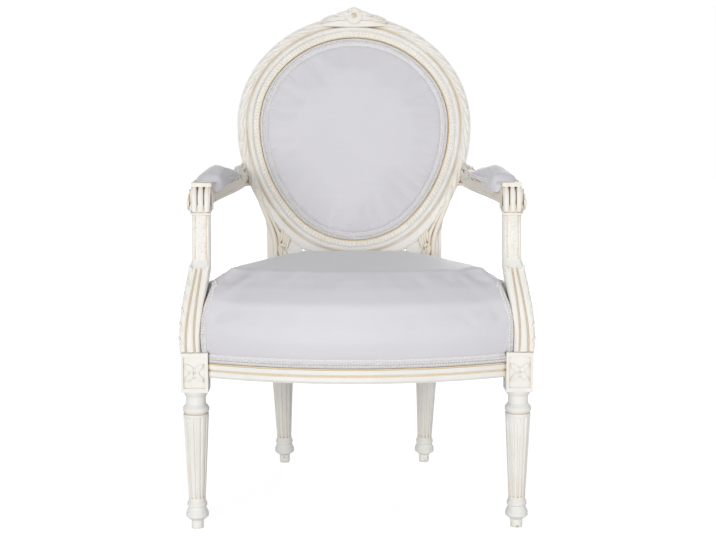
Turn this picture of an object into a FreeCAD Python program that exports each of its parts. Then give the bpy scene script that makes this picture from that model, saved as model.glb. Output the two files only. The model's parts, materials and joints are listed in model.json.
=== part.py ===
import FreeCAD, Part
import math
import os
import Sketcher

Vector = FreeCAD.Vector
Placement = FreeCAD.Placement
Rotation = FreeCAD.Rotation

# Medallion back armchair with an oval back, turned and fluted legs and a crowned seat.
# X runs to the right seen from the front, Y runs to the back and Z runs up.
# The origin is on the floor, in the middle of the chair's box. All sizes are millimetres.

doc = FreeCAD.newDocument("medallion_armchair")
sheet = doc.addObject("Spreadsheet::Sheet", "Sizes")

SIZES = [
    # stance
    ("front_leg_spacing", 600),
    ("origin_to_front_legs", 249.8),
    ("seat_depth", 438),
    ("rear_leg_spacing", 316),
    ("rear_foot_spacing", 310),
    ("rear_foot_kick", 46),
    # seat blocks of the legs
    ("block_bottom", 262),
    ("block_height", 74),
    ("block_width", 50),
    ("rear_block_width", 42),
    ("panel_margin", 5),
    ("panel_depth", 3),
    ("petal_relief", 2.4),
    # turned leg
    ("tip_diameter", 22.4),
    ("tip_height", 15),
    ("bulb_diameter", 42),
    ("bulb_height", 26),
    ("ankle_diameter", 32),
    ("ankle_ring_diameter", 37),
    ("shaft_bottom", 54),
    ("shaft_length", 165),
    ("shaft_bottom_diameter", 31),
    ("shaft_top_diameter", 47.5),
    ("collar_diameter", 49),
    ("neck_diameter", 37),
    ("flute_count", 12),
    ("flute_bottom_width", 4.8),
    ("flute_top_width", 7.6),
    ("flute_end_margin", 5),
    ("flute_depth", 2.2),
    # seat rails
    ("rail_bottom", 288),
    ("rail_face_height", 28),
    ("rebate_height", 14),
    ("rebate_depth", 5),
    ("rail_thickness", 32),
    ("rail_groove", 2.2),
    ("front_bow", 63),
    ("side_bow", 18),
    ("front_reveal", 9),
    ("side_reveal", 7),
    ("tenon_height", 26),
    ("tenon_thickness", 12),
    ("tenon_clearance", 0.1),
    ("corner_block_height", 30),
    ("corner_block_leg", 78),
    # oval back
    ("back_rake", 11),
    ("oval_width", 510),
    ("oval_rise", 240),
    ("oval_drop", 304),
    ("oval_centre_height", 455),
    ("back_pivot_height", 300),
    ("band_width", 48),
    ("rabbet_width", 18),
    ("frame_front", 16),
    ("frame_back", 16),
    ("rabbet_floor", 2.5),
    ("rear_rabbet_depth", 4),
    ("crest_joint_angle", 38.5),
    ("lower_turn_angle", 44),
    ("bottom_joint_angle", 61),
    ("tongue_length", 36),
    ("tongue_width", 26),
    ("tongue_thickness", 8),
    ("stile_width", 60),
    ("stile_front", 8),
    ("stile_step_width", 9),
    ("stile_step_depth", 7),
    ("stile_joint_angle", 32),
    ("crest_half_width", 70),
    ("crest_boss_width", 48),
    ("crest_rise", 17),
    ("crest_relief", 4),
    # arms
    ("arm_height", 302),
    ("arm_spacing", 582),
    ("arm_rear_overlap", 6.1),
    ("arm_width", 34),
    ("arm_rear_width", 28),
    ("arm_thickness", 30),
    ("arm_rear_rise", 17),
    ("scroll_diameter", 54),
    ("scroll_setback", 68),
    ("scroll_groove", 3.4),
    ("post_width", 34),
    ("post_depth", 30),
    ("post_foot_spacing", 616),
    ("post_foot_width", 38),
    ("post_foot_depth", 42),
    ("post_leaf_height", 158),
    ("pad_length", 225),
    ("pad_width", 44),
    ("pad_height", 26),
    ("pad_front_gap", 28),
    # upholstery
    ("cushion_crown", 487),
    ("cushion_bulge", 7),
    ("wadding", 11),
    ("soft_clearance", 1),
    ("gimp_width", 12.5),
    ("gimp_thickness", 2.6),
    ("webbing_width", 50),
    ("webbing_thickness", 1.6),
    ("hessian_thickness", 1.2),
    ("back_crown", 26),
    ("cambric_thickness", 0.8),
    ("outside_back_thickness", 2.2),
    # fixings
    ("post_tenon_width", 14),
    ("post_tenon_length", 18),
    ("arm_tenon_length", 16),
]

for row, (alias, value) in enumerate(SIZES, start=1):
    sheet.set("A%d" % row, alias)
    sheet.set("B%d" % row, str(value))
    sheet.setAlias("B%d" % row, alias)
doc.recompute()


def size(alias):
    return float(getattr(sheet, alias))


# derived places, all from the sheet

front_y = -size("origin_to_front_legs")
rear_y = front_y + size("seat_depth")
half_front = size("front_leg_spacing") / 2
half_rear = size("rear_leg_spacing") / 2
half_block = size("block_width") / 2
half_rear_block = size("rear_block_width") / 2
block_top = size("block_bottom") + size("block_height")
rail_top = size("rail_bottom") + size("rail_face_height") + size("rebate_height")
shaft_top = size("shaft_bottom") + size("shaft_length")
thickness = size("rail_thickness")
tenon_length = half_rear_block - size("tenon_thickness") / 2 - 1
beyond = 2 * (size("seat_depth") + size("oval_rise") + size("oval_drop"))

back_frame = Placement(
    Vector(0, rear_y, size("back_pivot_height")),
    Rotation(Vector(1, 0, 0), 90 - size("back_rake")),
)

parts = []


def keep(piece):
    """Remember a finished piece as one of the chair's sub-parts."""
    parts.append(piece)
    return piece


def feature(label, shape, placement=None):
    """A piece whose shape comes from Part's own functions."""
    piece = doc.addObject("Part::Feature", label)
    piece.Label = label
    piece.Shape = shape
    if placement is not None:
        piece.Placement = placement
    return keep(piece)


def mirrored(label, source):
    """The left-hand twin of a right-hand piece."""
    piece = doc.addObject("Part::Mirroring", label)
    piece.Label = label
    piece.Source = source
    piece.Normal = (1, 0, 0)
    return keep(piece)


def face_of(points, plane="xz"):
    """A flat face from corner points and arcs.

    Each entry is (a, b) for a straight run to that point, or (a, b, c, d) for an arc
    through (a, b) that ends at (c, d). The outline closes itself with a straight run.
    """
    def lift(a, b):
        if plane == "xz":
            return Vector(a, 0, b)
        if plane == "yz":
            return Vector(0, a, b)
        return Vector(a, b, 0)

    edges = []
    start = lift(*points[0][-2:])
    here = start
    for entry in points[1:]:
        there = lift(*entry[-2:])
        if len(entry) == 4:
            edges.append(Part.Arc(here, lift(*entry[:2]), there).toShape())
        else:
            edges.append(Part.makeLine(here, there))
        here = there
    if here.distanceToPoint(start) > 1e-6:
        edges.append(Part.makeLine(here, start))
    return Part.Face(Part.Wire(edges))


def box(low, high):
    """A box between two corners."""
    return Part.makeBox(high[0] - low[0], high[1] - low[1], high[2] - low[2], Vector(*low))


# Sketch helpers for the bodies that are built from sketches


def plane_sketch(body, name, role, offset, rise=None):
    """A sketch on one of the body's own origin planes, moved along its normal and up."""
    sketch = body.newObject("Sketcher::SketchObject", name)
    for item in body.Origin.OriginFeatures:
        if item.Role == role:
            sketch.AttachmentSupport = (item, "")
    sketch.MapMode = "FlatFace"
    if offset:
        sketch.setExpression("AttachmentOffset.Base.z", offset)
    if rise:
        sketch.setExpression("AttachmentOffset.Base.y", rise)
    doc.recompute()
    return sketch


def place_point(sketch, geo, end, x, y):
    """Tie one point of a sketch to two expressions of the sheet."""
    for kind, text in (("DistanceX", x), ("DistanceY", y)):
        value = float(sketch.evalExpression(text))
        if abs(value) < 1e-9:
            zero = -2 if kind == "DistanceX" else -1
            sketch.addConstraint(Sketcher.Constraint("PointOnObject", geo, end, zero))
            continue
        index = sketch.addConstraint(Sketcher.Constraint(kind, -1, 1, geo, end, value))
        sketch.setExpression("Constraints[%d]" % index, text)


def outline(sketch, points):
    """A closed outline of lines and three-point arcs whose points follow the sheet.

    Entries are (x, y) or (x, y, arc_x, arc_y), each an expression, where the arc runs
    through (arc_x, arc_y) on its way to (x, y).
    """
    def at(x, y):
        return Vector(float(sketch.evalExpression(x)), float(sketch.evalExpression(y)), 0)

    count = len(points)
    curves = []
    for index in range(count):
        here = at(*points[index - 1][:2])
        entry = points[index]
        there = at(*entry[:2])
        if len(entry) == 2:
            geo = sketch.addGeometry(Part.LineSegment(here, there), False)
            curves.append((geo, 1, 2))
            continue
        middle = at(*entry[2:])
        turns_left = (middle - here).cross(there - middle).z > 0
        ends = (here, middle, there) if turns_left else (there, middle, here)
        geo = sketch.addGeometry(Part.Arc(*ends), False)
        curves.append((geo, 1, 2) if turns_left else (geo, 2, 1))
    for index in range(count):
        geo, first, last = curves[index]
        before = curves[index - 1]
        sketch.addConstraint(Sketcher.Constraint("Coincident", before[0], before[2], geo, first))
    for index in range(count):
        geo, first, last = curves[index]
        place_point(sketch, geo, last, *points[index][:2])
    for index in range(count):
        if len(points[index]) == 4:
            mark = sketch.addGeometry(Part.Point(at(*points[index][2:])), True)
            place_point(sketch, mark, 1, *points[index][2:])
            sketch.addConstraint(Sketcher.Constraint("PointOnObject", mark, 1, curves[index][0]))


def circle(sketch, x, y, radius):
    """A circle whose centre and radius follow the sheet."""
    centre = Vector(float(sketch.evalExpression(x)), float(sketch.evalExpression(y)), 0)
    value = float(sketch.evalExpression(radius))
    geo = sketch.addGeometry(Part.Circle(centre, Vector(0, 0, 1), value), False)
    place_point(sketch, geo, 3, x, y)
    index = sketch.addConstraint(Sketcher.Constraint("Radius", geo, value))
    sketch.setExpression("Constraints[%d]" % index, radius)


def rectangle(sketch, x_low, y_low, x_high, y_high):
    """A rectangle whose corners follow the sheet."""
    outline(sketch, [(x_low, y_low), (x_high, y_low), (x_high, y_high), (x_low, y_high)])


def padded(body, name, sketch, length):
    """A pad along the sketch's normal."""
    pad = body.newObject("PartDesign::Pad", name)
    pad.Profile = sketch
    pad.setExpression("Length", length)
    doc.recompute()
    return pad


def pocketed(body, name, sketch, length, reverse=False):
    """A pocket against the sketch's normal, which must take something away."""
    before = body.Shape.Volume
    pocket = body.newObject("PartDesign::Pocket", name)
    pocket.Profile = sketch
    pocket.Reversed = reverse
    pocket.setExpression("Length", length)
    doc.recompute()
    if body.Shape.Volume > before - 1:
        raise RuntimeError(name + " cuts nothing")
    return pocket


# Turned leg outline, from the floor up, as half diameter and height

LEG_PROFILE = [
    ("Sizes.tip_diameter / 2", "0"),
    ("Sizes.tip_diameter / 2", "Sizes.tip_height"),
    ("Sizes.bulb_diameter / 2", "Sizes.bulb_height - 3"),
    ("Sizes.bulb_diameter / 2", "Sizes.bulb_height + 4"),
    ("Sizes.ankle_diameter / 2", "Sizes.bulb_height + 15"),
    ("Sizes.ankle_ring_diameter / 2", "Sizes.bulb_height + 18"),
    ("Sizes.ankle_ring_diameter / 2", "Sizes.bulb_height + 23"),
    ("Sizes.shaft_bottom_diameter / 2", "Sizes.shaft_bottom"),
    ("Sizes.shaft_top_diameter / 2", "Sizes.shaft_bottom + Sizes.shaft_length"),
    ("Sizes.shaft_top_diameter / 2 - 2.5", "Sizes.shaft_bottom + Sizes.shaft_length"),
    ("Sizes.collar_diameter / 2", "Sizes.shaft_bottom + Sizes.shaft_length + 6"),
    ("Sizes.collar_diameter / 2", "Sizes.shaft_bottom + Sizes.shaft_length + 12"),
    ("Sizes.neck_diameter / 2", "Sizes.shaft_bottom + Sizes.shaft_length + 19"),
    ("Sizes.neck_diameter / 2", "Sizes.block_bottom - 11"),
    ("Sizes.collar_diameter / 2 - 1", "Sizes.block_bottom - 3"),
    ("Sizes.collar_diameter / 2 - 1", "Sizes.block_bottom"),
]


def carved_panel(body, name, role):
    """A sunk square panel with a four-petal flower, on one face of the seat block."""
    middle = "Sizes.block_bottom + Sizes.block_height / 2"
    half_x = "(Sizes.block_width / 2 - Sizes.panel_margin)"
    half_z = "(Sizes.block_height / 2 - Sizes.panel_margin * 1.6)"
    face = "Sizes.block_width / 2"
    floor = "Sizes.block_width / 2 - Sizes.panel_depth"
    sunk = plane_sketch(body, name + "_panel", role, face, middle)
    rectangle(sunk, "-" + half_x, "-" + half_z, half_x, half_z)
    pocketed(body, name + "_recess", sunk, "Sizes.panel_depth")

    leaf = plane_sketch(body, name + "_leaf", role, floor, middle)
    side = "Sizes.block_width * "
    root = side + "0.03"
    tip = side + "0.34"
    outline(leaf, [
        (root, root), (side + "0.22", side + "0.08"), (side + "0.31", side + "0.2"),
        (tip, tip), (side + "0.2", side + "0.31"), (side + "0.08", side + "0.22"),
    ])
    petal = padded(body, name + "_petal", leaf, "Sizes.petal_relief")
    flower = body.newObject("PartDesign::PolarPattern", name + "_flower")
    flower.Originals = [petal]
    flower.Axis = (leaf, ["N_Axis"])
    flower.Angle = 360
    flower.Occurrences = 4
    body.Tip = flower
    doc.recompute()


def flute_outline(sketch, diameter, width):
    """Section of one flute: a narrow floor with sloping walls."""
    floor = diameter + " / 2 - Sizes.flute_depth"
    out = diameter + " / 2 + 1"
    outline(sketch, [
        (floor, "-" + width + " * 0.22"), (out, "-" + width + " * 0.6"),
        (out, width + " * 0.6"), (floor, width + " * 0.22"),
    ])


def front_leg():
    """The right front leg: turned and fluted shaft with a carved square block above."""
    body = doc.addObject("PartDesign::Body", "front_leg_right")
    body.Label = "front_leg_right"
    body.setExpression("Placement.Base.x", "Sizes.front_leg_spacing / 2")
    body.setExpression("Placement.Base.y", "-Sizes.origin_to_front_legs")

    turning = plane_sketch(body, "turning", "XZ_Plane", None)
    outline(turning, [("0", "0")] + LEG_PROFILE + [("0", "Sizes.block_bottom")])
    turned = body.newObject("PartDesign::Revolution", "turned_leg")
    turned.Profile = turning
    turned.ReferenceAxis = (turning, ["V_Axis"])
    turned.Angle = 360
    doc.recompute()

    low = plane_sketch(body, "flute_low", "XY_Plane", "Sizes.shaft_bottom + Sizes.flute_end_margin")
    flute_outline(low, "Sizes.shaft_bottom_diameter", "Sizes.flute_bottom_width")
    high = plane_sketch(
        body, "flute_high", "XY_Plane",
        "Sizes.shaft_bottom + Sizes.shaft_length - Sizes.flute_end_margin",
    )
    flute_outline(high, "Sizes.shaft_top_diameter", "Sizes.flute_top_width")
    flute = body.newObject("PartDesign::SubtractiveLoft", "flute")
    flute.Profile = low
    flute.Sections = [high]
    flute.Ruled = True
    doc.recompute()
    ring = body.newObject("PartDesign::PolarPattern", "flutes")
    ring.Originals = [flute]
    ring.Axis = (turning, ["V_Axis"])
    ring.Angle = 360
    ring.setExpression("Occurrences", "Sizes.flute_count")
    body.Tip = ring
    doc.recompute()

    square = plane_sketch(body, "block_square", "XY_Plane", "Sizes.block_bottom")
    half = "Sizes.block_width / 2"
    rectangle(square, "-" + half, "-" + half, half, half)
    padded(body, "block", square, "Sizes.block_height")

    for name, role in (("front", "XZ_Plane"), ("side", "YZ_Plane")):
        carved_panel(body, name, role)

    slack = "Sizes.tenon_clearance"
    half_tenon = "(Sizes.tenon_thickness / 2 + " + slack + ")"
    rail_height = "(Sizes.rail_face_height + Sizes.rebate_height)"
    low = "(Sizes.rail_bottom + (" + rail_height + " - Sizes.tenon_height) / 2 - " + slack + ")"
    high = "(" + low + " + Sizes.tenon_height + 2 * " + slack + ")"
    depth = "Sizes.rear_block_width / 2 - Sizes.tenon_thickness / 2 - 1 + " + slack
    across = "(Sizes.front_reveal + (Sizes.rail_thickness - Sizes.block_width) / 2 + 1)"
    front = plane_sketch(body, "front_rail_mortise", "YZ_Plane", "-Sizes.block_width / 2")
    rectangle(front, across + " - " + half_tenon, low, across + " + " + half_tenon, high)
    pocketed(body, "front_rail_socket", front, depth, reverse=True)
    along = "(Sizes.block_width / 2 - Sizes.side_reveal - Sizes.rail_thickness / 2 - 4)"
    side = plane_sketch(body, "side_rail_mortise", "XZ_Plane", "-Sizes.block_width / 2")
    rectangle(side, along + " - " + half_tenon, low, along + " + " + half_tenon, high)
    pocketed(body, "side_rail_socket", side, depth, reverse=True)
    top = plane_sketch(body, "post_mortise", "XY_Plane", "Sizes.block_bottom + Sizes.block_height")
    outward = "(Sizes.post_foot_spacing - Sizes.front_leg_spacing) / 2"
    half_post = "(Sizes.post_tenon_width / 2 + " + slack + ")"
    rectangle(top, outward + " - " + half_post, "-" + half_post, outward + " + " + half_post, half_post)
    pocketed(body, "post_socket", top, "Sizes.post_tenon_length + " + slack)
    return keep(body)


# Moulded seat rails, turned about the centre of their bow


def arc_centre(start, end, bow):
    """Centre and radius of the plan arc from start to end that bows out to the right."""
    chord = end - start
    radius = (chord.Length ** 2 / 4 + bow ** 2) / (2 * bow)
    inward = Vector(-chord.y, chord.x, 0).normalize()
    return (start + end) * 0.5 + inward * (radius - bow), radius


def bowed_bar(profile, start, end, bow, overrun=60):
    """A bar with the given (depth, height) outline along a bowed plan line.

    The walk from start to end has the outer side on its right. It runs past both ends,
    and is trimmed afterwards by what it meets.
    """
    centre, radius = arc_centre(start, end, bow)
    spread = math.degrees(math.asin((end - start).Length / 2 / radius))
    extra = math.degrees(overrun / radius)
    points = []
    for entry in profile:
        if len(entry) == 4:
            points.append((radius - entry[0], entry[1], radius - entry[2], entry[3]))
        else:
            points.append((radius - entry[0], entry[1]))
    section = face_of(points)
    bar = section.revolve(Vector(0, 0, 0), Vector(0, 0, 1), 2 * (spread + extra))
    out = (start + end) * 0.5 - centre
    heading = math.degrees(math.atan2(out.y, out.x))
    turn = Rotation(Vector(0, 0, 1), heading - spread - extra)
    bar.Placement = Placement(centre, turn)
    return bar


def rail_profile():
    """Two bands with a groove between, and a rebate above for the tacked cover."""
    face = size("rail_face_height")
    deep = size("rail_groove") + 2
    middle = face / 2
    top = face + size("rebate_height")
    return [
        (3, 0),
        (0, face * 0.16),
        (0.8, middle - 3),
        (deep, middle),
        (0.8, middle + 3),
        (0.3, face * 0.88),
        (size("rebate_depth"), face - 0.2),
        (size("rebate_depth"), top),
        (thickness, top),
        (thickness, 0),
    ]


# Plan places of the rails, measured from the front leg axis

front_left = Vector(-half_front + half_block, -half_block + size("front_reveal"), 0)
front_right = Vector(-front_left.x, front_left.y, 0)
side_front = Vector(half_front + half_block - size("side_reveal"), half_block, 0)
side_rear = Vector(half_rear + half_rear_block - 1, size("seat_depth") - half_rear_block, 0)
rail_frame = Placement(Vector(0, front_y, size("rail_bottom")), Rotation())
rail_height = rail_top - size("rail_bottom")


def tenon_box(centre, along, clearance=0.0):
    """Tenon or mortise: along is a unit step out of the shoulder at centre."""
    half = size("tenon_thickness") / 2 + clearance
    low = (rail_height - size("tenon_height")) / 2 - clearance
    high = low + size("tenon_height") + 2 * clearance
    reach = tenon_length + clearance
    across = Vector(abs(along.y), abs(along.x), 0) * half
    tip = centre + along * reach
    xs = sorted((centre.x - across.x, centre.x + across.x, tip.x - across.x, tip.x + across.x))
    ys = sorted((centre.y - across.y, centre.y + across.y, tip.y - across.y, tip.y + across.y))
    return box((xs[0], ys[0], low), (xs[-1], ys[-1], high))


front_shoulder = Vector(front_right.x, front_right.y + thickness / 2 + 1, 0)
side_front_shoulder = Vector(side_front.x - thickness / 2 - 4, side_front.y, 0)
side_rear_shoulder = Vector(half_rear, side_rear.y, 0)
back_shoulder = Vector(half_rear - half_rear_block, size("seat_depth"), 0)


def front_rail():
    bar = bowed_bar(rail_profile(), front_left, front_right, size("front_bow"))
    wide = front_right.x
    bar = bar.common(box((-wide, -beyond, -1), (wide, beyond, rail_height + 1)))
    tenon = tenon_box(front_shoulder, Vector(1, 0, 0))
    return bar.fuse([tenon, tenon.mirror(Vector(), Vector(1, 0, 0))]).removeSplitter()


def side_rail():
    bar = bowed_bar(rail_profile(), side_front, side_rear, size("side_bow"))
    bar = bar.common(box((0, side_front.y, -1), (beyond, side_rear.y, rail_height + 1)))
    front = tenon_box(side_front_shoulder, Vector(0, -1, 0))
    rear = tenon_box(side_rear_shoulder, Vector(0, 1, 0))
    return bar.fuse([front, rear]).removeSplitter()


def back_rail():
    wide = back_shoulder.x
    half = thickness / 2
    bar = box((-wide, back_shoulder.y - half, 0), (wide, back_shoulder.y + half, rail_height))
    tenon = tenon_box(back_shoulder, Vector(1, 0, 0))
    return bar.fuse([tenon, tenon.mirror(Vector(), Vector(1, 0, 0))]).removeSplitter()


# Oval back frame, in its own raked plane: x across, y up the back, z out of the front


def oval_arcs():
    """The oval's right half from bottom to top, as arcs: centre, radius, first and last angle.

    Above and below the middle, a side arc meets an end arc where both have the same normal,
    so that each half is smooth. Angles are the directions of the outward normal, in degrees.
    """
    wide = size("oval_width") / 2
    middle = size("oval_centre_height")
    arcs = []
    for turn, reach, sign in (
        (size("lower_turn_angle"), size("oval_drop"), -1),
        (size("crest_joint_angle"), size("oval_rise"), 1),
    ):
        sine = math.sin(math.radians(turn))
        cosine = math.cos(math.radians(turn))
        shift = (wide - reach) / (sine + cosine - 1)
        side = (Vector(shift * cosine, middle, 0), wide - shift * cosine, 0, sign * turn)
        end_radius = reach + shift * sine
        end = (Vector(0, middle + sign * (reach - end_radius), 0), end_radius, sign * turn, sign * 90)
        arcs.extend([side, end])
    lower_side, lower_end, upper_side, upper_end = arcs
    ordered = []
    for centre, radius, first, last in (lower_end, lower_side, upper_side, upper_end):
        ordered.append((centre, radius, min(first, last), max(first, last)))
    return ordered


OVAL_ARCS = oval_arcs()


def oval_point(angle, inset=0.0):
    """Point of the oval whose outward normal has the given direction, moved inwards."""
    centre, radius, first, last = [arc for arc in OVAL_ARCS if arc[2] - 1e-9 <= angle][-1]
    turn = math.radians(angle)
    return centre + Vector(math.cos(turn), math.sin(turn), 0) * (radius - inset)


def oval_side(up):
    """Half the oval's width at a height up the back."""
    for centre, radius, first, last in OVAL_ARCS:
        low = centre.y + radius * math.sin(math.radians(first))
        high = centre.y + radius * math.sin(math.radians(last))
        if low - 1e-6 <= up <= high + 1e-6:
            return centre.x + math.sqrt(radius ** 2 - (up - centre.y) ** 2)
    raise RuntimeError("the oval doesn't reach %.1f mm up the back" % up)


def oval_sweep(points, start, end):
    """A moulding with its (inset, height) outline, turned along the arcs of the right half."""
    pieces = []
    for centre, radius, first, last in OVAL_ARCS:
        low = max(first, start)
        high = min(last, end)
        if high - low < 1e-6:
            continue
        section = face_of([(radius - inset, height) for inset, height in points])
        piece = section.revolve(Vector(0, 0, 0), Vector(0, 0, 1), high - low)
        piece.Placement = Placement(centre, Rotation(Vector(0, 0, 1), low))
        pieces.append(piece)
    return pieces[0].fuse(pieces[1:]) if len(pieces) > 1 else pieces[0]


def with_mirror(shape):
    """A shape together with its left-hand twin."""
    return [shape, shape.mirror(Vector(), Vector(1, 0, 0))]


def frame_moulding():
    """Section of the oval frame, from its outer edge inwards."""
    front = size("frame_front")
    back = size("frame_back")
    band = size("band_width")
    inner = band + size("rabbet_width")
    floor = size("rabbet_floor")
    rear = size("rear_rabbet_depth")
    return [
        (0, front * 0.3),
        (4, front * 0.82),
        (17, front * 0.82),
        (21, front * 0.55),
        (29, front),
        (36, front * 0.6),
        (band, front * 0.6),
        (band, floor),
        (inner, floor),
        (inner, -back + rear),
        (band + 2, -back + rear),
        (band + 2, -back),
        (4, -back),
        (0, -back * 0.7),
    ]


def crest_carving():
    """Low carved crest on the top of the oval: a flower boss between falling leaves."""
    top = size("oval_centre_height") + size("oval_rise")
    half = size("crest_half_width")
    rise = size("crest_rise")
    boss = size("crest_boss_width") / 2
    relief = size("frame_front") + size("crest_relief")
    arc_centre_point, arc_radius, _, _ = OVAL_ARCS[-1]
    end = arc_centre_point.y + math.sqrt(arc_radius ** 2 - half ** 2)
    points = [
        (-half, end - 14),
        (-half, end + 1),
        (-half * 0.66, top + 1, -boss, top + 2),
        (0, top + rise, boss, top + 2),
        (half * 0.66, top + 1, half, end + 1),
        (half, end - 14),
        (0, top - 26, -half, end - 14),
    ]
    slab = face_of(points, "xy").extrude(Vector(0, 0, relief + 6))
    slab.translate(Vector(0, 0, -6))
    flower = Part.makeCylinder(boss * 0.72, 5, Vector(0, top - 3, relief - 1))
    return slab.fuse(flower)


def tongue_at(angle, clearance=0.0):
    """A loose tongue across a joint of the oval, or its mortise when clearance is given."""
    reach = size("tongue_length") / 2 + clearance
    first = (size("band_width") - size("tongue_width")) / 2
    half = size("tongue_thickness") / 2 + clearance
    tongue = box(
        (-reach, first - clearance, -4 - half),
        (reach, first + size("tongue_width") + clearance, -4 + half),
    )
    tongue.Placement = Placement(oval_point(angle), Rotation(Vector(0, 0, 1), angle + 90))
    return tongue


def oval_tongues(clearance=0.0):
    """Tongues or mortises of the right side's joints with the crest and the lower rail."""
    angles = (size("crest_joint_angle"), -size("bottom_joint_angle"))
    return [tongue_at(angle, clearance) for angle in angles]


def turned_leg_shape():
    """The same turned and fluted leg as in front, as one solid about the Z axis."""
    def value(text):
        return float(sheet.evalExpression(text.replace("Sizes.", "")))

    points = [(0, 0)]
    for entry in LEG_PROFILE:
        numbers = [value(text) for text in entry]
        points.append(tuple(numbers[2:] + numbers[:2]))
    points.append((0, size("block_bottom")))
    leg = face_of(points).revolve(Vector(0, 0, 0), Vector(0, 0, 1), 360)
    rings = []
    for diameter, width, height in (
        ("shaft_bottom_diameter", "flute_bottom_width", size("shaft_bottom") + size("flute_end_margin")),
        ("shaft_top_diameter", "flute_top_width", shaft_top - size("flute_end_margin")),
    ):
        floor = size(diameter) / 2 - size("flute_depth")
        out = size(diameter) / 2 + 1
        narrow = size(width) * 0.22
        wide = size(width) * 0.6
        ring = face_of([(floor, -narrow), (out, -wide), (out, wide), (floor, narrow)], "xy").OuterWire
        ring.translate(Vector(0, 0, height))
        rings.append(ring)
    flute = Part.makeLoft(rings, True, True)
    cutters = []
    count = int(size("flute_count"))
    for index in range(count):
        cutter = flute.copy()
        cutter.rotate(Vector(0, 0, 0), Vector(0, 0, 1), 360.0 * index / count)
        cutters.append(cutter)
    return leg.cut(cutters)


def rear_leg_world():
    """Rear leg and its seat block in the chair's frame: the leg kicks back to the floor."""
    top = Vector(half_rear, rear_y, size("block_bottom"))
    foot = Vector(size("rear_foot_spacing") / 2, rear_y + size("rear_foot_kick"), 0)
    axis = top - foot
    leg = turned_leg_shape()
    leg.translate(Vector(0, 0, axis.Length - size("block_bottom")))
    peg = Part.makeCylinder(size("tip_diameter") / 2 - 1.2, 20, Vector(0, 0, -8))
    leg = leg.fuse(peg)
    leg.Placement = Placement(foot, Rotation(Vector(0, 0, 1), axis))
    reach = half_rear_block
    block = box(
        (half_rear - reach, rear_y - reach, size("block_bottom") - 1),
        (half_rear + reach, rear_y + reach, block_top),
    )
    whole = leg.fuse(block)
    ground = box((-beyond, -beyond, -beyond), (beyond, beyond, 0))
    return whole.cut(ground)


def stile_shape(grow=0.0):
    """Console between the seat block and the oval, in the back's plane.

    Its outer edge leaves the oval's edge smoothly and runs down to the seat block.
    """
    outer = half_rear + half_rear_block * 0.95
    inner = half_rear - half_rear_block * 0.95
    wide = half_rear + size("stile_width") / 2 + 1
    narrow = wide - size("stile_width") - 5
    foot = block_top - size("back_pivot_height") - 6
    tie = oval_point(-size("bottom_joint_angle") + 2, 22)
    corner = oval_point(-size("bottom_joint_angle") + 2, 2)
    waist = oval_point(-size("lower_turn_angle")).y
    joint = oval_point(-size("stile_joint_angle"), 1)
    joint_inside = oval_point(-size("stile_joint_angle"), 30)
    points = [
        (outer, foot),
        (wide - 1, (foot + waist) / 2, wide + 2, waist),
        ((wide + joint.x) / 2 - 1, (waist + joint.y) / 2, joint.x, joint.y),
        (joint_inside.x, joint_inside.y),
        (tie.x, tie.y),
        (corner.x, corner.y),
        (narrow, corner.y - 70, inner, foot),
    ]
    outline_face = face_of(points, "xy")
    if grow:
        outline_face = outline_face.makeOffset2D(grow)
    back = -size("frame_back") + 2 - grow
    front = size("stile_front") + grow
    if grow:
        slab = outline_face.extrude(Vector(0, 0, front - back))
        slab.translate(Vector(0, 0, back))
        return slab
    step = front - size("stile_step_depth")
    drawn_in = outline_face.copy()
    drawn_in.translate(Vector(-size("stile_step_width"), 0, 0))
    low = outline_face.extrude(Vector(0, 0, step - back))
    low.translate(Vector(0, 0, back))
    high = outline_face.common(drawn_in).extrude(Vector(0, 0, front - back))
    high.translate(Vector(0, 0, back))
    return low.fuse(high)


def back_post():
    """Right back post: rear leg, seat block, console and side of the oval in one piece."""
    side = oval_sweep(frame_moulding(), -size("bottom_joint_angle"), size("crest_joint_angle"))
    lower = rear_leg_world()
    lower.Placement = back_frame.inverse().multiply(lower.Placement)
    post = side.fuse([stile_shape(), lower])
    cutters = oval_tongues(size("tenon_clearance"))
    rail_cutters = [
        tenon_box(side_rear_shoulder, Vector(0, 1, 0), size("tenon_clearance")),
        tenon_box(back_shoulder, Vector(1, 0, 0), size("tenon_clearance")),
    ]
    cutters.extend(in_frame(hole, rail_frame, back_frame) for hole in rail_cutters)
    return post.cut(cutters)


def crest_rail():
    half = oval_sweep(frame_moulding(), size("crest_joint_angle"), 90)
    rail = half.fuse(with_mirror(half)[1:] + [crest_carving()])
    mortise = tongue_at(size("crest_joint_angle"), size("tenon_clearance"))
    return rail.cut(with_mirror(mortise)).removeSplitter()


def lower_rail():
    half = oval_sweep(frame_moulding(), -90, -size("bottom_joint_angle"))
    rail = half.fuse(with_mirror(half)[1:])
    mortise = tongue_at(-size("bottom_joint_angle"), size("tenon_clearance"))
    return rail.cut(with_mirror(mortise)).removeSplitter()


# Arms, in the arm frame: y from the front leg axis, z from the top of the seat block

arm_frame = Placement(Vector(0, front_y, block_top), Rotation())
half_arm = size("arm_spacing") / 2
arm_rear_top = block_top + size("arm_height") + size("arm_rear_rise") - size("back_pivot_height")
arm_rear_up = arm_rear_top / math.cos(math.radians(size("back_rake")))
half_arm_rear = oval_side(arm_rear_up) + size("arm_rear_overlap")
arm_end = size("seat_depth") + (
    block_top + size("arm_height") - size("back_pivot_height")
) * math.tan(math.radians(size("back_rake")))
scroll_radius = size("scroll_diameter") / 2
scroll_y = size("scroll_setback")
scroll_z = size("arm_height") + 5 - scroll_radius


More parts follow.
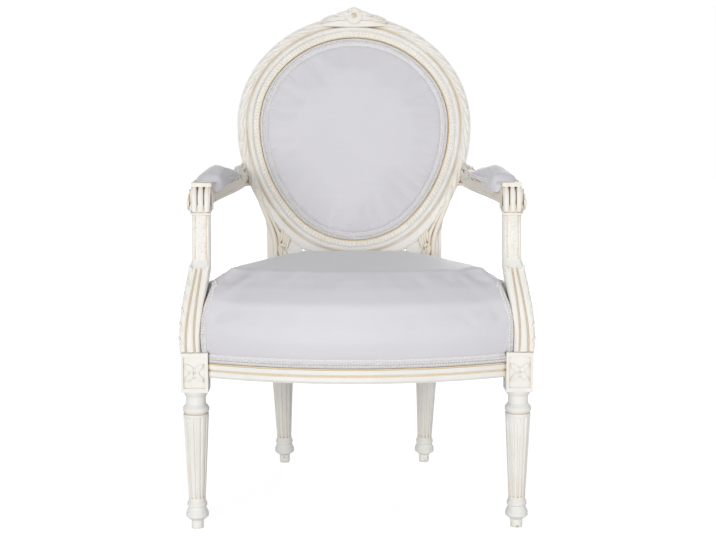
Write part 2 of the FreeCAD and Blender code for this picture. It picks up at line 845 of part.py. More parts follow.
def arm_line(share):
    """Centre of the arm's top at a share of its run: x, y and z."""
    sweep = 1 - (1 - min(share, 1.0)) ** 2
    x = half_arm + (half_arm_rear - half_arm) * sweep
    y = scroll_y + (arm_end + 22 - scroll_y) * share
    z = size("arm_height") + size("arm_rear_rise") * share ** 1.6
    return x, y, z


def arm_section(share):
    """Section of the arm at a share of its run, with rounded edges."""
    x, y, top = arm_line(share)
    width = size("arm_width") + (size("arm_rear_width") - size("arm_width")) * share
    deep = size("arm_thickness") + 9 * (1 - share) ** 6 + 13 * share ** 2
    half = width / 2
    low = top - deep
    points = [
        (x - half + 6, low),
        (x + half - 6, low),
        (x + half, low + deep * 0.35),
        (x + half, top - 7),
        (x + half - 8, top),
        (x - half + 8, top),
        (x - half, top - 7),
        (x - half, low + deep * 0.35),
    ]
    wire = face_of(points).OuterWire
    wire.translate(Vector(0, y, 0))
    return wire


def scroll():
    """Front end of the arm: a roll with two deep grooves under a flat cap."""
    half = size("arm_width") / 2 + 1
    centre = Vector(half_arm, scroll_y, scroll_z)
    roll = Part.makeCylinder(scroll_radius, 2 * half, centre - Vector(half, 0, 0), Vector(1, 0, 0))
    groove = size("scroll_groove")
    cutters = []
    for side in (-1, 1):
        middle = side * half / 3
        ring = face_of([
            (middle - groove, scroll_radius + 0.5),
            (middle + groove, scroll_radius + 0.5),
            (middle, scroll_radius - 1.6 * groove),
        ])
        ring = ring.revolve(Vector(0, 0, 0), Vector(1, 0, 0), 360)
        ring.translate(centre)
        cutters.append(ring)
    roll = roll.cut(cutters)
    ear = scroll_radius * 0.62
    out = Part.makeCylinder(ear, 6, centre + Vector(half - 1, 0, 0), Vector(1, 0, 0))
    inner = Part.makeCylinder(ear, 4, centre - Vector(half + 3, 0, 0), Vector(1, 0, 0))
    cap = box(
        (half_arm - half - 1, scroll_y - scroll_radius * 0.72, scroll_z + scroll_radius - 6),
        (half_arm + half + 1, scroll_y + scroll_radius * 0.7, scroll_z + scroll_radius + 1.5),
    )
    return roll.fuse([out, inner, cap])


def post_sections(grow=0.0):
    """Arm support from the seat block up: height, centre, width and depth."""
    foot_x = size("post_foot_spacing") / 2
    leaf = size("post_leaf_height")
    top = scroll_z - scroll_radius * 0.45
    back = scroll_y - scroll_radius + size("post_depth") / 2 + 1
    wide = size("post_foot_width")
    slim = size("post_width")
    deep = size("post_foot_depth")
    thin = size("post_depth")
    rows = [
        (0, foot_x, 0, wide, deep),
        (leaf * 0.4, foot_x - 2, back * 0.10, wide + 2, deep),
        (leaf * 0.72, foot_x - 9, back * 0.42, wide + 3, deep - 3),
        (leaf - 6, half_arm + 2, back * 0.72, wide + 1, deep - 7),
        (leaf + 8, half_arm, back * 0.82, slim, thin),
        (top - 34, half_arm, back * 0.98, slim, thin),
        (top, half_arm, back, slim, thin),
    ]
    wires = []
    for z, x, y, width, depth in rows:
        a = width / 2 + grow
        b = depth / 2 + grow
        c = 5.0
        corners = [
            (x - a + c, y - b), (x + a - c, y - b), (x + a, y - b + c), (x + a, y + b - c),
            (x + a - c, y + b), (x - a + c, y + b), (x - a, y + b - c), (x - a, y - b + c),
        ]
        wire = face_of(corners, "xy").OuterWire
        wire.translate(Vector(0, 0, z))
        wires.append(wire)
    return wires


def arm_post(grow=0.0):
    """Arm support with a tenon at each end."""
    wires = post_sections(grow)
    lower = Part.makeLoft(wires[:4], True, False)
    neck = Part.makeLoft(wires[3:5], True, True)
    upper = Part.makeLoft(wires[4:], True, False)
    return lower.fuse([neck, upper]).removeSplitter()


def post_tenons(clearance=0.0):
    """Tenons at the foot and head of the arm support, or their mortises."""
    half = size("post_tenon_width") / 2 + clearance
    reach = size("post_tenon_length") + clearance
    foot = size("post_foot_spacing") / 2
    back = scroll_y - scroll_radius + size("post_depth") / 2 + 1
    head = scroll_z - scroll_radius * 0.45
    return [
        box((foot - half, -half, -reach), (foot + half, half, 2)),
        box((half_arm - half, back - half, head - 2), (half_arm + half, back + half, head + reach)),
    ]


def arm_tenon(clearance=0.0):
    """Tenon from the arm into the side of the oval, or its mortise."""
    reach = size("arm_tenon_length") + clearance
    half = size("tenon_thickness") / 2 + clearance
    high = size("arm_height") + 2
    rise = block_top + high - 12 - size("back_pivot_height")
    rake = math.radians(size("back_rake"))
    x = oval_side(rise / math.cos(rake)) - 3
    y = size("seat_depth") + rise * math.tan(rake) + 5
    return box(
        (x - reach, y - half, high - 24 - clearance),
        (x + 12 + clearance, y + half, high + clearance),
    )


def in_frame(shape, own, target):
    """A copy of a shape given in one frame, expressed in another."""
    moved = shape.copy()
    moved.Placement = target.inverse().multiply(own).multiply(moved.Placement)
    return moved


def arm(post, side):
    """Right arm: scroll, tapering sweep and an end coped to the side of the oval."""
    shares = (0.0, 0.12, 0.3, 0.5, 0.7, 0.86, 1.0)
    sweep = Part.makeLoft([arm_section(share) for share in shares], True, False)
    whole = sweep.fuse(scroll())
    ring = in_frame(side, back_frame, arm_frame)
    front_of_back = box((-beyond, -beyond, 3 - size("frame_back")), (beyond, beyond, beyond))
    whole = whole.common(in_frame(front_of_back, back_frame, arm_frame))
    whole = whole.cut([post, ring] + post_tenons(size("tenon_clearance"))[1:])
    whole = max(whole.Solids, key=lambda solid: solid.Volume)
    return whole.fuse(arm_tenon()).removeSplitter()


def plated(rings):
    """A solid between rings of corners, closed with flat triangles and flat ends."""
    faces = [Part.Face(Part.makePolygon(ring + ring[:1])) for ring in (rings[0], rings[-1])]
    for low, high in zip(rings, rings[1:]):
        for index, here in enumerate(low):
            after = (index + 1) % len(low)
            for corners in ([here, low[after], high[after]], [here, high[after], high[index]]):
                faces.append(Part.Face(Part.makePolygon(corners + corners[:1])))
    solid = Part.Solid(Part.Shell(faces))
    if solid.Volume < 0:
        solid.reverse()
    return solid


def pad_sections(grow, outline_of):
    """Sections along the arm pad, each from a half width, a foot height and a top height."""
    run = arm_end + 22 - scroll_y
    start = size("pad_front_gap") / run
    length = size("pad_length") / run
    rings = []
    for share, wide, high in (
        (0.0, 0.62, 0.30), (0.07, 0.9, 0.72), (0.35, 1.0, 1.0), (0.75, 0.92, 0.88),
        (0.94, 0.78, 0.60), (1.0, 0.56, 0.28),
    ):
        x, y, z = arm_line(start + length * share)
        if share == 0.0:
            y -= grow
        if share == 1.0:
            y += grow
        half = size("pad_width") / 2 * wide + grow
        points = outline_of(x, half, z + 0.3, z + size("pad_height") * high + grow)
        rings.append([Vector(a, y, b) for a, b in points])
    return plated(rings)


def rounded_top(x, half, low, top):
    high = top - low
    return [
        (x - half + 2, low), (x + half - 2, low), (x + half, low + high * 0.35),
        (x + half * 0.74, low + high * 0.8), (x, top), (x - half * 0.74, low + high * 0.8),
        (x - half, low + high * 0.35),
    ]


def pad_shape(grow=0.0):
    """Upholstered arm pad: flat below, rounded above, drawn in at both ends."""
    return pad_sections(grow, rounded_top)


def pad_gimp():
    """Braid round the foot of the arm pad."""
    def strip(x, half, low, top):
        high = low + size("gimp_width") * 0.55
        return [(x - half, low), (x + half, low), (x + half, high), (x - half, high)]

    return pad_sections(size("gimp_thickness"), strip).cut(pad_shape(0.05))


# Seat upholstery, in the seat frame: y from the front leg axis, z from the top of the rails

seat_frame = Placement(Vector(0, front_y, rail_top), Rotation())
front_centre, front_radius = arc_centre(front_left, front_right, size("front_bow"))
side_centre, side_radius = arc_centre(side_front, side_rear, size("side_bow"))
seat_rear = size("seat_depth") + thickness / 2


def seat_outline(inset, height):
    """Plan of the seat, drawn in by an inset: bowed front and sides, straight back."""
    radius_a = front_radius - inset
    radius_b = side_radius - inset
    between = side_centre - front_centre
    gap = between.Length
    along = (radius_a ** 2 - radius_b ** 2 + gap ** 2) / (2 * gap)
    off = math.sqrt(radius_a ** 2 - along ** 2)
    unit = between * (1 / gap)
    left = Vector(-unit.y, unit.x, 0)
    options = [front_centre + unit * along + left * off, front_centre + unit * along - left * off]
    corner = min(options, key=lambda point: point.y)
    rear_y_here = seat_rear - inset
    rise = rear_y_here - side_centre.y
    rear = Vector(side_centre.x + math.sqrt(radius_b ** 2 - rise ** 2), rear_y_here, 0)
    bulge = Vector(side_centre.x + radius_b * math.cos(math.asin(
        ((corner.y + rear.y) / 2 - side_centre.y) / radius_b)), (corner.y + rear.y) / 2, 0)
    nose = front_centre.y - radius_a
    wire = face_of([
        (-corner.x, corner.y),
        (0, nose, corner.x, corner.y),
        (bulge.x, bulge.y, rear.x, rear.y),
        (-rear.x, rear.y),
        (-bulge.x, bulge.y, -corner.x, corner.y),
    ], "xy").OuterWire
    wire.translate(Vector(0, 0, height))
    return wire


def seat_sheet(inset, low, thick):
    """A flat sheet or board of the seat's plan."""
    return Part.Face(seat_outline(inset, low)).extrude(Vector(0, 0, thick))


def crowned_seat(inset, drop, rows):
    """Crowned cushion: what the turned front, the turned sides and the straight rear share.

    Each of them has the same outline of (inset, share of the height), so their edges meet
    in mitres at the corners.
    """
    crown = size("cushion_crown") - rail_top - drop
    profile = [(side + inset, share * crown) for side, share in rows]

    def filled(radius):
        return profile + [(radius - 1, profile[-1][1]), (radius - 1, 0)]

    depth = size("seat_depth")
    front = bowed_bar(filled(front_radius), front_left, front_right, size("front_bow"), 1.46 * depth)
    side = bowed_bar(filled(side_radius), side_front, side_rear, size("side_bow"), 1.03 * depth)
    rear = face_of([(seat_rear - inward, height) for inward, height in filled(2 * depth)], "yz")
    width = 2 * size("post_foot_spacing")
    rear = rear.extrude(Vector(width, 0, 0))
    rear.translate(Vector(-width / 2, 0, 0))
    for shape in [rear] + with_mirror(side):
        front = front.common(shape)
    return front


CUSHION_ROWS = [
    (3, 0), (2 - size("cushion_bulge"), 0.2), (-size("cushion_bulge"), 0.45), (3, 0.65),
    (32, 0.82), (95, 0.94), (200, 1.0),
]
CORE_ROWS = [(3, 0), (2 - size("cushion_bulge"), 0.42), (60, 1.0)]


def seat_cutters(clearance):
    """Room for the blocks, the arm supports and the consoles at the corners of the seat."""
    blocks = block_top - rail_top
    x_front = half_front - half_block
    x_rear = half_rear - half_rear_block
    y_rear = size("seat_depth") - half_rear_block
    post_x = size("post_foot_spacing") / 2 - size("post_foot_width") / 2
    post_y = size("post_foot_depth") / 2
    right = [
        box((x_front - clearance, -beyond, -60), (beyond, half_block + clearance, blocks + clearance)),
        box((post_x - clearance, -beyond, -1), (beyond, post_y + clearance, beyond)),
        box((x_rear - clearance, y_rear - clearance, -60), (beyond, beyond, blocks + clearance)),
        in_frame(arm_post(clearance), arm_frame, seat_frame),
        in_frame(stile_shape(clearance), back_frame, seat_frame),
    ]
    return [twin for shape in right for twin in with_mirror(shape)]


def seat_core():
    core = crowned_seat(size("wadding"), size("wadding"), CORE_ROWS)
    return core.cut(seat_cutters(size("soft_clearance") + size("wadding") * 0.5))


def seat_cover():
    """Padded cover over the seat's core, open below."""
    outer = crowned_seat(0, 0, CUSHION_ROWS).cut(seat_cutters(size("soft_clearance")))
    cover = outer.cut(seat_core())
    return max(cover.Solids, key=lambda solid: solid.Volume)


def seat_foam():
    below = 2 * size("webbing_thickness") + size("hessian_thickness")
    return seat_core().cut(box((-beyond, -beyond, -1), (beyond, beyond, below)))


def seat_webbing():
    """Two layers of straps across the rails."""
    strap = size("webbing_width")
    thick = size("webbing_thickness")
    inside = seat_sheet(size("wadding") + 4, 0, 2 * thick)
    inside = inside.cut(seat_cutters(size("soft_clearance") + size("wadding") * 0.5))
    straps = []
    for index in range(5):
        y = 70 + index * 80
        straps.append(box((-beyond, y - strap / 2, 0), (beyond, y + strap / 2, thick)))
    for index in range(-2, 3):
        x = index * 62
        straps.append(box((x - strap / 2, -beyond, thick), (x + strap / 2, beyond, 2 * thick)))
    return Part.makeCompound([strap.common(inside) for strap in straps])


def seat_hessian():
    low = 2 * size("webbing_thickness")
    sheet_shape = seat_sheet(size("wadding") + 4, low, size("hessian_thickness"))
    return sheet_shape.cut(seat_cutters(size("soft_clearance") + size("wadding") * 0.5))


def seat_gimp():
    """Braid in the rebates of the seat rails."""
    low = size("rail_face_height") + 0.4
    high = low + size("gimp_width")
    outer = size("rebate_depth") - size("gimp_thickness")
    strip = [(outer, low), (outer, high), (size("rebate_depth"), high), (size("rebate_depth"), low)]
    front = bowed_bar(strip, front_left, front_right, size("front_bow"))
    wide = front_right.x - 0.2
    front = front.common(box((-wide, -beyond, 0), (wide, beyond, beyond)))
    side = bowed_bar(strip, side_front, side_rear, size("side_bow"))
    side = side.common(box((0, side_front.y + 0.2, 0), (beyond, side_rear.y - 0.2, beyond)))
    x = back_shoulder.x - 0.2
    rear = box((-x, seat_rear, low), (x, seat_rear + size("gimp_thickness"), high))
    return Part.makeCompound([front, side, side.mirror(Vector(), Vector(1, 0, 0)), rear])


def dust_cover():
    """Thin cloth under the seat."""
    thick = size("cambric_thickness")
    under = seat_sheet(12, -rail_height - thick, thick)
    return under.cut(seat_cutters(size("soft_clearance") * 0.3))


# Corner blocks, in the rail frame

corner_low = (rail_height - size("corner_block_height")) / 2
corner_leg = size("corner_block_leg")


def corner_prism(points):
    prism = face_of(points, "xy").extrude(Vector(0, 0, size("corner_block_height")))
    prism.translate(Vector(0, 0, corner_low))
    return prism


front_corner_target = Vector(front_right.x, half_block, 0)
rear_corner_target = Vector(back_shoulder.x, side_rear.y, 0)


def front_corner_points():
    x, y, _ = front_corner_target
    return [(x - corner_leg, y - 45), (x, y - 20), (x + 25, y - 20), (x + 25, y + corner_leg)]


def rear_corner_points():
    x, y, _ = rear_corner_target
    return [(x - corner_leg + 10, y + 13), (x + 20, y + 13), (x + 45, y - corner_leg)]


def corner_block(points, neighbours):
    block = corner_prism(points).cut(neighbours)
    return max(block.Solids, key=lambda solid: solid.Volume)


# Oval upholstery, in the back's plane


def oval_wire(inset, height):
    """The oval drawn in by an inset, as six arcs."""
    def at(angle):
        flip = abs(angle) > 90
        point = oval_point(math.copysign(180 - abs(angle), angle) if flip else angle, inset)
        return Vector(-point.x if flip else point.x, point.y, height)

    crest = size("crest_joint_angle")
    turn = size("lower_turn_angle")
    stops = [(-turn, 0), (0, crest), (crest, 180 - crest), (180 - crest, 180)]
    edges = [Part.Arc(at(a), at((a + b) / 2), at(b)).toShape() for a, b in stops]
    edges.append(Part.Arc(at(180), at(-180 + turn / 2), at(-180 + turn)).toShape())
    edges.append(Part.Arc(at(-180 + turn), at(-90), at(-turn)).toShape())
    return Part.Wire(edges)


def oval_sheet(inset, low, thick):
    return Part.Face(oval_wire(inset, low)).extrude(Vector(0, 0, thick))


strap_top = size("rabbet_floor") + size("webbing_thickness")
lining_top = strap_top + size("hessian_thickness")
opening = size("band_width") + 2
pad_edge = size("band_width") + size("gimp_width") + 2


def back_dome(inset, drop, rows):
    """Padded oval: its sides are turned along the oval's arcs, round a flat-topped middle."""
    crown = size("back_crown") - lining_top - drop
    reach = min(arc[1] for arc in OVAL_ARCS) - pad_edge
    outline_rows = [
        (pad_edge + inset + side * reach, lining_top + crown * share) for side, share in rows
    ]
    last, top = outline_rows[-1]
    border = oval_sweep(outline_rows + [(last, lining_top)], -90, 90)
    middle = Part.Face(oval_wire(last, lining_top)).extrude(Vector(0, 0, top - lining_top))
    return middle.fuse(with_mirror(border)).removeSplitter()


def back_webbing():
    inside = oval_sheet(opening, size("rabbet_floor"), size("webbing_thickness"))
    half = size("webbing_width") / 2
    straps = []
    for index in (-1, 0, 1):
        x = index * size("oval_width") * 0.21
        straps.append(box((x - half, 0, -beyond), (x + half, beyond, beyond)).common(inside))
    return Part.makeCompound(straps)


def back_gimp_shape(inset, low, thick):
    width = size("gimp_width")
    section = [(inset, low), (inset, low + thick), (inset + width, low + thick), (inset + width, low)]
    right = oval_sweep(section, -90, 90)
    return right.fuse(with_mirror(right)[1:]).removeSplitter()


rear_floor = -size("frame_back") + size("rear_rabbet_depth")
outside_thickness = size("outside_back_thickness")


# The chair, piece by piece

mirrored("front_leg_left", front_leg())

front_bar = front_rail()
side_bar = side_rail()
rear_bar = back_rail()
feature("front_rail", front_bar, rail_frame)
right_side = feature("side_rail_right", side_bar, rail_frame)
mirrored("side_rail_left", right_side)
feature("back_rail", rear_bar, rail_frame)

front_square = box((half_front - half_block, -half_block, -40), (beyond, half_block, 60))
rear_square = box((back_shoulder.x, side_rear.y, -40), (beyond, beyond, 60))
front_corner = corner_block(front_corner_points(), [front_bar, side_bar, front_square])
rear_corner = corner_block(rear_corner_points(), [side_bar, rear_bar, rear_square])
right_front_block = feature("corner_block_front_right", front_corner, rail_frame)
mirrored("corner_block_front_left", right_front_block)
right_rear_block = feature("corner_block_rear_right", rear_corner, rail_frame)
mirrored("corner_block_rear_left", right_rear_block)

post_body = arm_post()
side_frame = back_post()
arm_body = arm(post_body, side_frame)
arm_mortise = in_frame(arm_tenon(size("tenon_clearance")), arm_frame, back_frame)
right_post = feature("back_post_right", side_frame.cut(arm_mortise), back_frame)
mirrored("back_post_left", right_post)
feature("crest_rail", crest_rail(), back_frame)
feature("back_lower_rail", lower_rail(), back_frame)
tongues = [twin for tongue in oval_tongues() for twin in with_mirror(tongue)]
feature("oval_tongues", Part.makeCompound(tongues), back_frame)

right_support = feature("arm_post_right", post_body.fuse(post_tenons()), arm_frame)
mirrored("arm_post_left", right_support)
right_arm = feature("arm_right", arm_body, arm_frame)
mirrored("arm_left", right_arm)
right_pad = feature("arm_pad_right", pad_shape(), arm_frame)
mirrored("arm_pad_left", right_pad)
right_pad_gimp = feature("arm_pad_gimp_right", pad_gimp(), arm_frame)
mirrored("arm_pad_gimp_left", right_pad_gimp)

feature("seat_webbing", seat_webbing(), seat_frame)
feature("seat_hessian", seat_hessian(), seat_frame)
feature("seat_foam", seat_foam(), seat_frame)
feature("seat_cover", seat_cover(), seat_frame)
feature("seat_gimp", seat_gimp(), rail_frame)
feature("dust_cover", dust_cover(), seat_frame)

feature("back_webbing", back_webbing(), back_frame)
feature("back_lining", oval_sheet(opening, strap_top, size("hessian_thickness")), back_frame)
back_core = back_dome(8, 5, [(0, 0), (0.12, 0.8), (0.45, 1.0)])
outer_dome = back_dome(0, 0, [(0, 0), (0.025, 0.42), (0.16, 0.76), (0.63, 1.0)])
feature("back_foam", back_core, back_frame)
feature("back_cover", outer_dome.cut(back_core), back_frame)
feature("back_gimp", back_gimp_shape(opening, lining_top, size("gimp_thickness")), back_frame)
feature("outside_back", oval_sheet(opening + 0.5, rear_floor - outside_thickness, outside_thickness),
        back_frame)

doc.recompute()

for item in doc.Objects:
    if "Invalid" in item.State or "Error" in item.State:
        raise RuntimeError(item.Name + " did not rebuild")
for piece in parts:
    if piece.Shape.isNull() or not piece.Shape.isValid():
        raise RuntimeError(piece.Label + " has no sound shape")

os.makedirs("parts", exist_ok=True)
for piece in parts:
    piece.Shape.exportStep("parts/" + piece.Label + ".step")
    bounds = piece.Shape.BoundBox
    print("%-22s %2d solids %10.0f mm3  %s" % (
        piece.Label, len(piece.Shape.Solids), piece.Shape.Volume,
        " ".join("%.1f" % v for v in (
            bounds.XMin, bounds.XMax, bounds.YMin, bounds.YMax, bounds.ZMin, bounds.ZMax)),
    ))
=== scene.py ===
import json
import math

import bmesh
import bpy
from mathutils import Matrix, Vector
from mathutils.bvhtree import BVHTree


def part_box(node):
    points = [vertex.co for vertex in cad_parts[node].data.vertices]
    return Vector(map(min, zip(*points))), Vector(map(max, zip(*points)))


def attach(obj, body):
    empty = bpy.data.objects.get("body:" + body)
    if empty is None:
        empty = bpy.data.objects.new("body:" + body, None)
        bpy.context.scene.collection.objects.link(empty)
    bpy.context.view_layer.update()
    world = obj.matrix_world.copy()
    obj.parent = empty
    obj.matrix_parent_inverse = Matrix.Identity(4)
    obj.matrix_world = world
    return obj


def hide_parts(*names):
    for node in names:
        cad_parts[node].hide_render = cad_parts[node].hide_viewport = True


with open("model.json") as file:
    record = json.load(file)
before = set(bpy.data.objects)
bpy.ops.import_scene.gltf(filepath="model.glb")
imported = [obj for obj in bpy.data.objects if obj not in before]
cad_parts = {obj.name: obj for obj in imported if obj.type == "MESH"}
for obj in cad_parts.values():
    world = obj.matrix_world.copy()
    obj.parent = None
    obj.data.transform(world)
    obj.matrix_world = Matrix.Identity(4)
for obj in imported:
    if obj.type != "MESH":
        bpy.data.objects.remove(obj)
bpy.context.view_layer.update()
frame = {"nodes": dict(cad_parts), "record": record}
nodes = frame["nodes"]

MM = 0.001

# Places repeated from the part's source, in millimetres

FRONT_LEG_Y = -249.8
REAR_LEG_Y = 188.2
HALF_FRONT = 300
HALF_BLOCK = 25
BLOCK_BOTTOM = 262
BLOCK_TOP = 336
PANEL_DEPTH = 3
OVAL_TOP = 695
BAND_FRONT = 13.1
TORUS_INSET = 29
CREAM_BAND_FRONT = 9.6
SHOULDER = 300
TILT_OF_BACK = 79
PADDING_INSET = 62.5
BRAID_LEVEL = 322.6
ARM_X = 291
ARM_RUN = 457.7
SCROLL_Y = 68
SCROLL_Z = 280
SCROLL_RADIUS = 27
PAD_START = 28
PAD_LENGTH = 225


def rotated(degrees, axis="Z"):
    """A turn about one axis."""
    return Matrix.Rotation(math.radians(degrees), 4, axis)


def axes(along, across, out):
    """A turn that lays X, Y and Z along three directions."""
    return Matrix((along, across, out)).transposed().to_4x4()


# The back's plane has X across, Y up the back and Z out of its front

back_plane = Matrix.Translation((0, REAR_LEG_Y, SHOULDER)) @ rotated(TILT_OF_BACK, "X")
seat_plane = Matrix.Translation((0, FRONT_LEG_Y, 0))
arm_plane = Matrix.Translation((0, FRONT_LEG_Y, BLOCK_TOP))
to_metres = Matrix.Scale(MM, 4)

# Arcs of the oval's right half from bottom to top: centre, radius, first and last direction
# of the outward normal in degrees

OVAL_ARCS = (
    ((0.0, 372.8), 221.8, -90, -44),
    ((-85.1, 455.0), 340.1, -44, 0),
    ((29.0, 455.0), 226.0, 0, 38.5),
    ((0.0, 431.95), 263.05, 38.5, 90),
)


# Modelling steps


def start_fresh():
    """Leaves object mode with nothing selected."""
    if bpy.context.object and bpy.context.object.mode != "OBJECT":
        bpy.ops.object.mode_set(mode="OBJECT")
    bpy.ops.object.select_all(action="DESELECT")


def take(piece):
    """Makes one piece the selected and active one."""
    start_fresh()
    piece.select_set(True)
    bpy.context.view_layer.objects.active = piece
    return piece


def enter(piece):
    """Opens a piece in edit mode with all its points selected."""
    take(piece)
    bpy.ops.object.mode_set(mode="EDIT")
    bpy.ops.mesh.select_mode(type="VERT")
    bpy.ops.mesh.select_all(action="SELECT")


def leave():
    """Closes the piece that is open in edit mode."""
    bpy.ops.object.mode_set(mode="OBJECT")


def grip(piece, test):
    """Selects in edit mode the points for which the test holds."""
    mesh = bmesh.from_edit_mesh(piece.data)
    for vertex in mesh.verts:
        vertex.select_set(False)
    mesh.select_flush(False)
    for vertex in mesh.verts:
        vertex.select_set(test(vertex.co))
    mesh.select_flush_mode()
    bmesh.update_edit_mesh(piece.data)


def outward(piece):
    """Merges doubles and turns all faces outwards."""
    enter(piece)
    bpy.ops.mesh.remove_doubles(threshold=0.00001)
    bpy.ops.mesh.normals_make_consistent(inside=False)
    leave()


def smooth(piece, degrees=40):
    """Shades a piece smooth, but for its edges sharper than an angle."""
    take(piece)
    bpy.ops.object.shade_smooth_by_angle(angle=math.radians(degrees))
    return piece


def finished(piece, kind, **settings):
    """Adds a modifier and applies it."""
    take(piece)
    modifier = piece.modifiers.new(kind.lower(), kind)
    for name, value in settings.items():
        setattr(modifier, name, value)
    bpy.ops.object.modifier_apply(modifier=modifier.name)
    return piece


def copied(model, matrix):
    """A copy of a model with its own mesh, put in place."""
    twin = model.copy()
    twin.data = model.data.copy()
    twin.data.transform(matrix)
    bpy.context.scene.collection.objects.link(twin)
    return twin


def carved(model, place):
    """A copy of a model in millimetres, put in its place in metres."""
    return copied(model, to_metres @ place)


def cut_from(node):
    """A free copy of a solid of the frame."""
    twin = copied(nodes[node], Matrix.Identity(4))
    twin.parent = None
    for key in list(twin.keys()):
        del twin[key]
    return twin


def outline(name, corners, fill="NGON"):
    """A flat shape with the given corners."""
    start_fresh()
    bpy.ops.mesh.primitive_circle_add(
        vertices=len(corners), radius=1, fill_type=fill, location=(0, 0, 0))
    shape = bpy.context.object
    shape.name = name
    for vertex, corner in zip(shape.data.vertices, corners):
        vertex.co = corner
    return shape


def united(name, pieces):
    """Several pieces made one."""
    start_fresh()
    for piece in pieces:
        piece.select_set(True)
    bpy.context.view_layer.objects.active = pieces[0]
    if len(pieces) > 1:
        bpy.ops.object.join()
    whole = bpy.context.object
    whole.name = name
    whole.data.name = name
    return whole


def both_sides(piece):
    """Adds the left-hand half to a right-hand one."""
    take(piece)
    modifier = piece.modifiers.new("mirror", "MIRROR")
    modifier.merge_threshold = 0.00002
    bpy.ops.object.modifier_apply(modifier=modifier.name)
    return piece


def put(piece, finish, replaced=()):
    """Gives a piece its finish and its body."""
    piece.data.materials.clear()
    piece.data.materials.append(finish)
    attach(piece, "root")
    if replaced:
        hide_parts(*replaced)
    return piece


def put_pair(name, pieces, finish, replaced=()):
    """Makes right-hand pieces one, adds their left-hand half and puts it on the chair."""
    return put(both_sides(united(name, pieces)), finish, replaced)


def block(centre, sizes, rounding):
    """A block with rounded edges."""
    start_fresh()
    bpy.ops.mesh.primitive_cube_add(size=1, location=centre, scale=sizes)
    bpy.ops.object.transform_apply(location=True, rotation=True, scale=True)
    return finished(bpy.context.object, "BEVEL", width=rounding, segments=2)


def knob(segments, rings, radius, flatness):
    """A flattened ball."""
    start_fresh()
    bpy.ops.mesh.primitive_uv_sphere_add(
        segments=segments, ring_count=rings, radius=radius, location=(0, 0, 0))
    ball = bpy.context.object
    enter(ball)
    bpy.ops.transform.resize(value=(1, 1, flatness), center_override=(0, 0, 0))
    leave()
    return smooth(ball, 80)


# Models of the carving, each lying along X from the origin with its face up


def carved_leaf(length, width, height, taper=0.5, vein=0.3, curl=0.0, sides=12, rows=10):
    """A leaf or petal: a drop with a flat foot, a pointed tip and a sunk vein."""
    start_fresh()
    bpy.ops.mesh.primitive_uv_sphere_add(
        segments=sides, ring_count=rows, radius=0.5, location=(0.5, 0, 0),
        rotation=(0, math.pi / 2, 0))
    bpy.ops.object.transform_apply(location=True, rotation=True, scale=True)
    leaf = bpy.context.object
    enter(leaf)
    for row in range(1, rows):
        along = 0.5 - 0.5 * math.cos(math.pi * row / rows)
        share = 1.15 - (1.15 - taper) * along ** 1.3
        grip(leaf, lambda co: abs(co.x - along) < 0.01)
        bpy.ops.transform.resize(value=(1, share, share), center_override=(along, 0, 0))
    grip(leaf, lambda co: co.z < -0.01)
    bpy.ops.transform.resize(value=(1, 1, 0.2), center_override=(0, 0, 0))
    if vein:
        grip(leaf, lambda co: co.z > 0.05 and abs(co.y) < 0.02 and 0.04 < co.x < 0.9)
        bpy.ops.transform.translate(value=(0, 0, -vein * 0.5))
    if curl:
        for start in (0.55, 0.75, 0.9):
            grip(leaf, lambda co: co.x > start)
            bpy.ops.transform.translate(value=(0, 0, curl / 3))
    bpy.ops.mesh.select_all(action="SELECT")
    bpy.ops.transform.resize(value=(length, width, 2 * height), center_override=(0, 0, 0))
    leave()
    return smooth(leaf, 80)


def on_back(x, up, height, heading, lift=0.0):
    """Place on the front of the oval frame, for a model that then points to the heading."""
    place = Matrix.Translation((x, up, height)) @ rotated(heading)
    return back_plane @ place @ rotated(-lift, "Y")


def oval_place(direction, inset, height):
    """Place on the oval: X up along it, Y inwards, Z out of the front."""
    centre, radius, _, _ = [arc for arc in OVAL_ARCS if arc[2] - 1e-9 <= direction][-1]
    turn = math.radians(direction)
    out = Vector((math.cos(turn), math.sin(turn), 0))
    spot = Vector((*centre, height)) + out * (radius - inset)
    return back_plane @ Matrix.Translation(spot) @ rotated(direction + 90)


def oval_walk(pitch, inset, start=-90, end=90):
    """Directions of the outward normal at even steps along the right half."""
    stops = []
    total = 0.0
    spans = []
    for _, radius, first, last in OVAL_ARCS:
        low = max(first, start)
        high = min(last, end)
        if high > low:
            length = (radius - inset) * math.radians(high - low)
            spans.append((total, length, low, high))
            total += length
    count = round(total / pitch)
    for step in range(count):
        reach = (step + 0.5) * total / count
        for begin, length, low, high in spans:
            if begin <= reach <= begin + length:
                stops.append(low + (high - low) * (reach - begin) / length)
    return stops


def oval_moulding(name, corners):
    """A moulding with (inset, height) corners, spun along the arcs of the right half."""
    (x, y), radius, _, _ = OVAL_ARCS[0]
    piece = outline(
        name, [(x, y - radius + inset, height) for inset, height in corners], "NOTHING")
    enter(piece)
    for (x, y), _, first, last in OVAL_ARCS:
        bpy.ops.mesh.spin(
            steps=max(6, round((last - first) / 3)), angle=math.radians(first - last),
            center=(x, y, 0), axis=(0, 0, 1))
    leave()
    piece.data.transform(back_plane)
    for vertex in piece.data.vertices:
        if abs(vertex.co.x) < 0.05:
            vertex.co.x = 0
    piece.data.transform(to_metres)
    both_sides(piece)
    outward(piece)
    return smooth(piece)


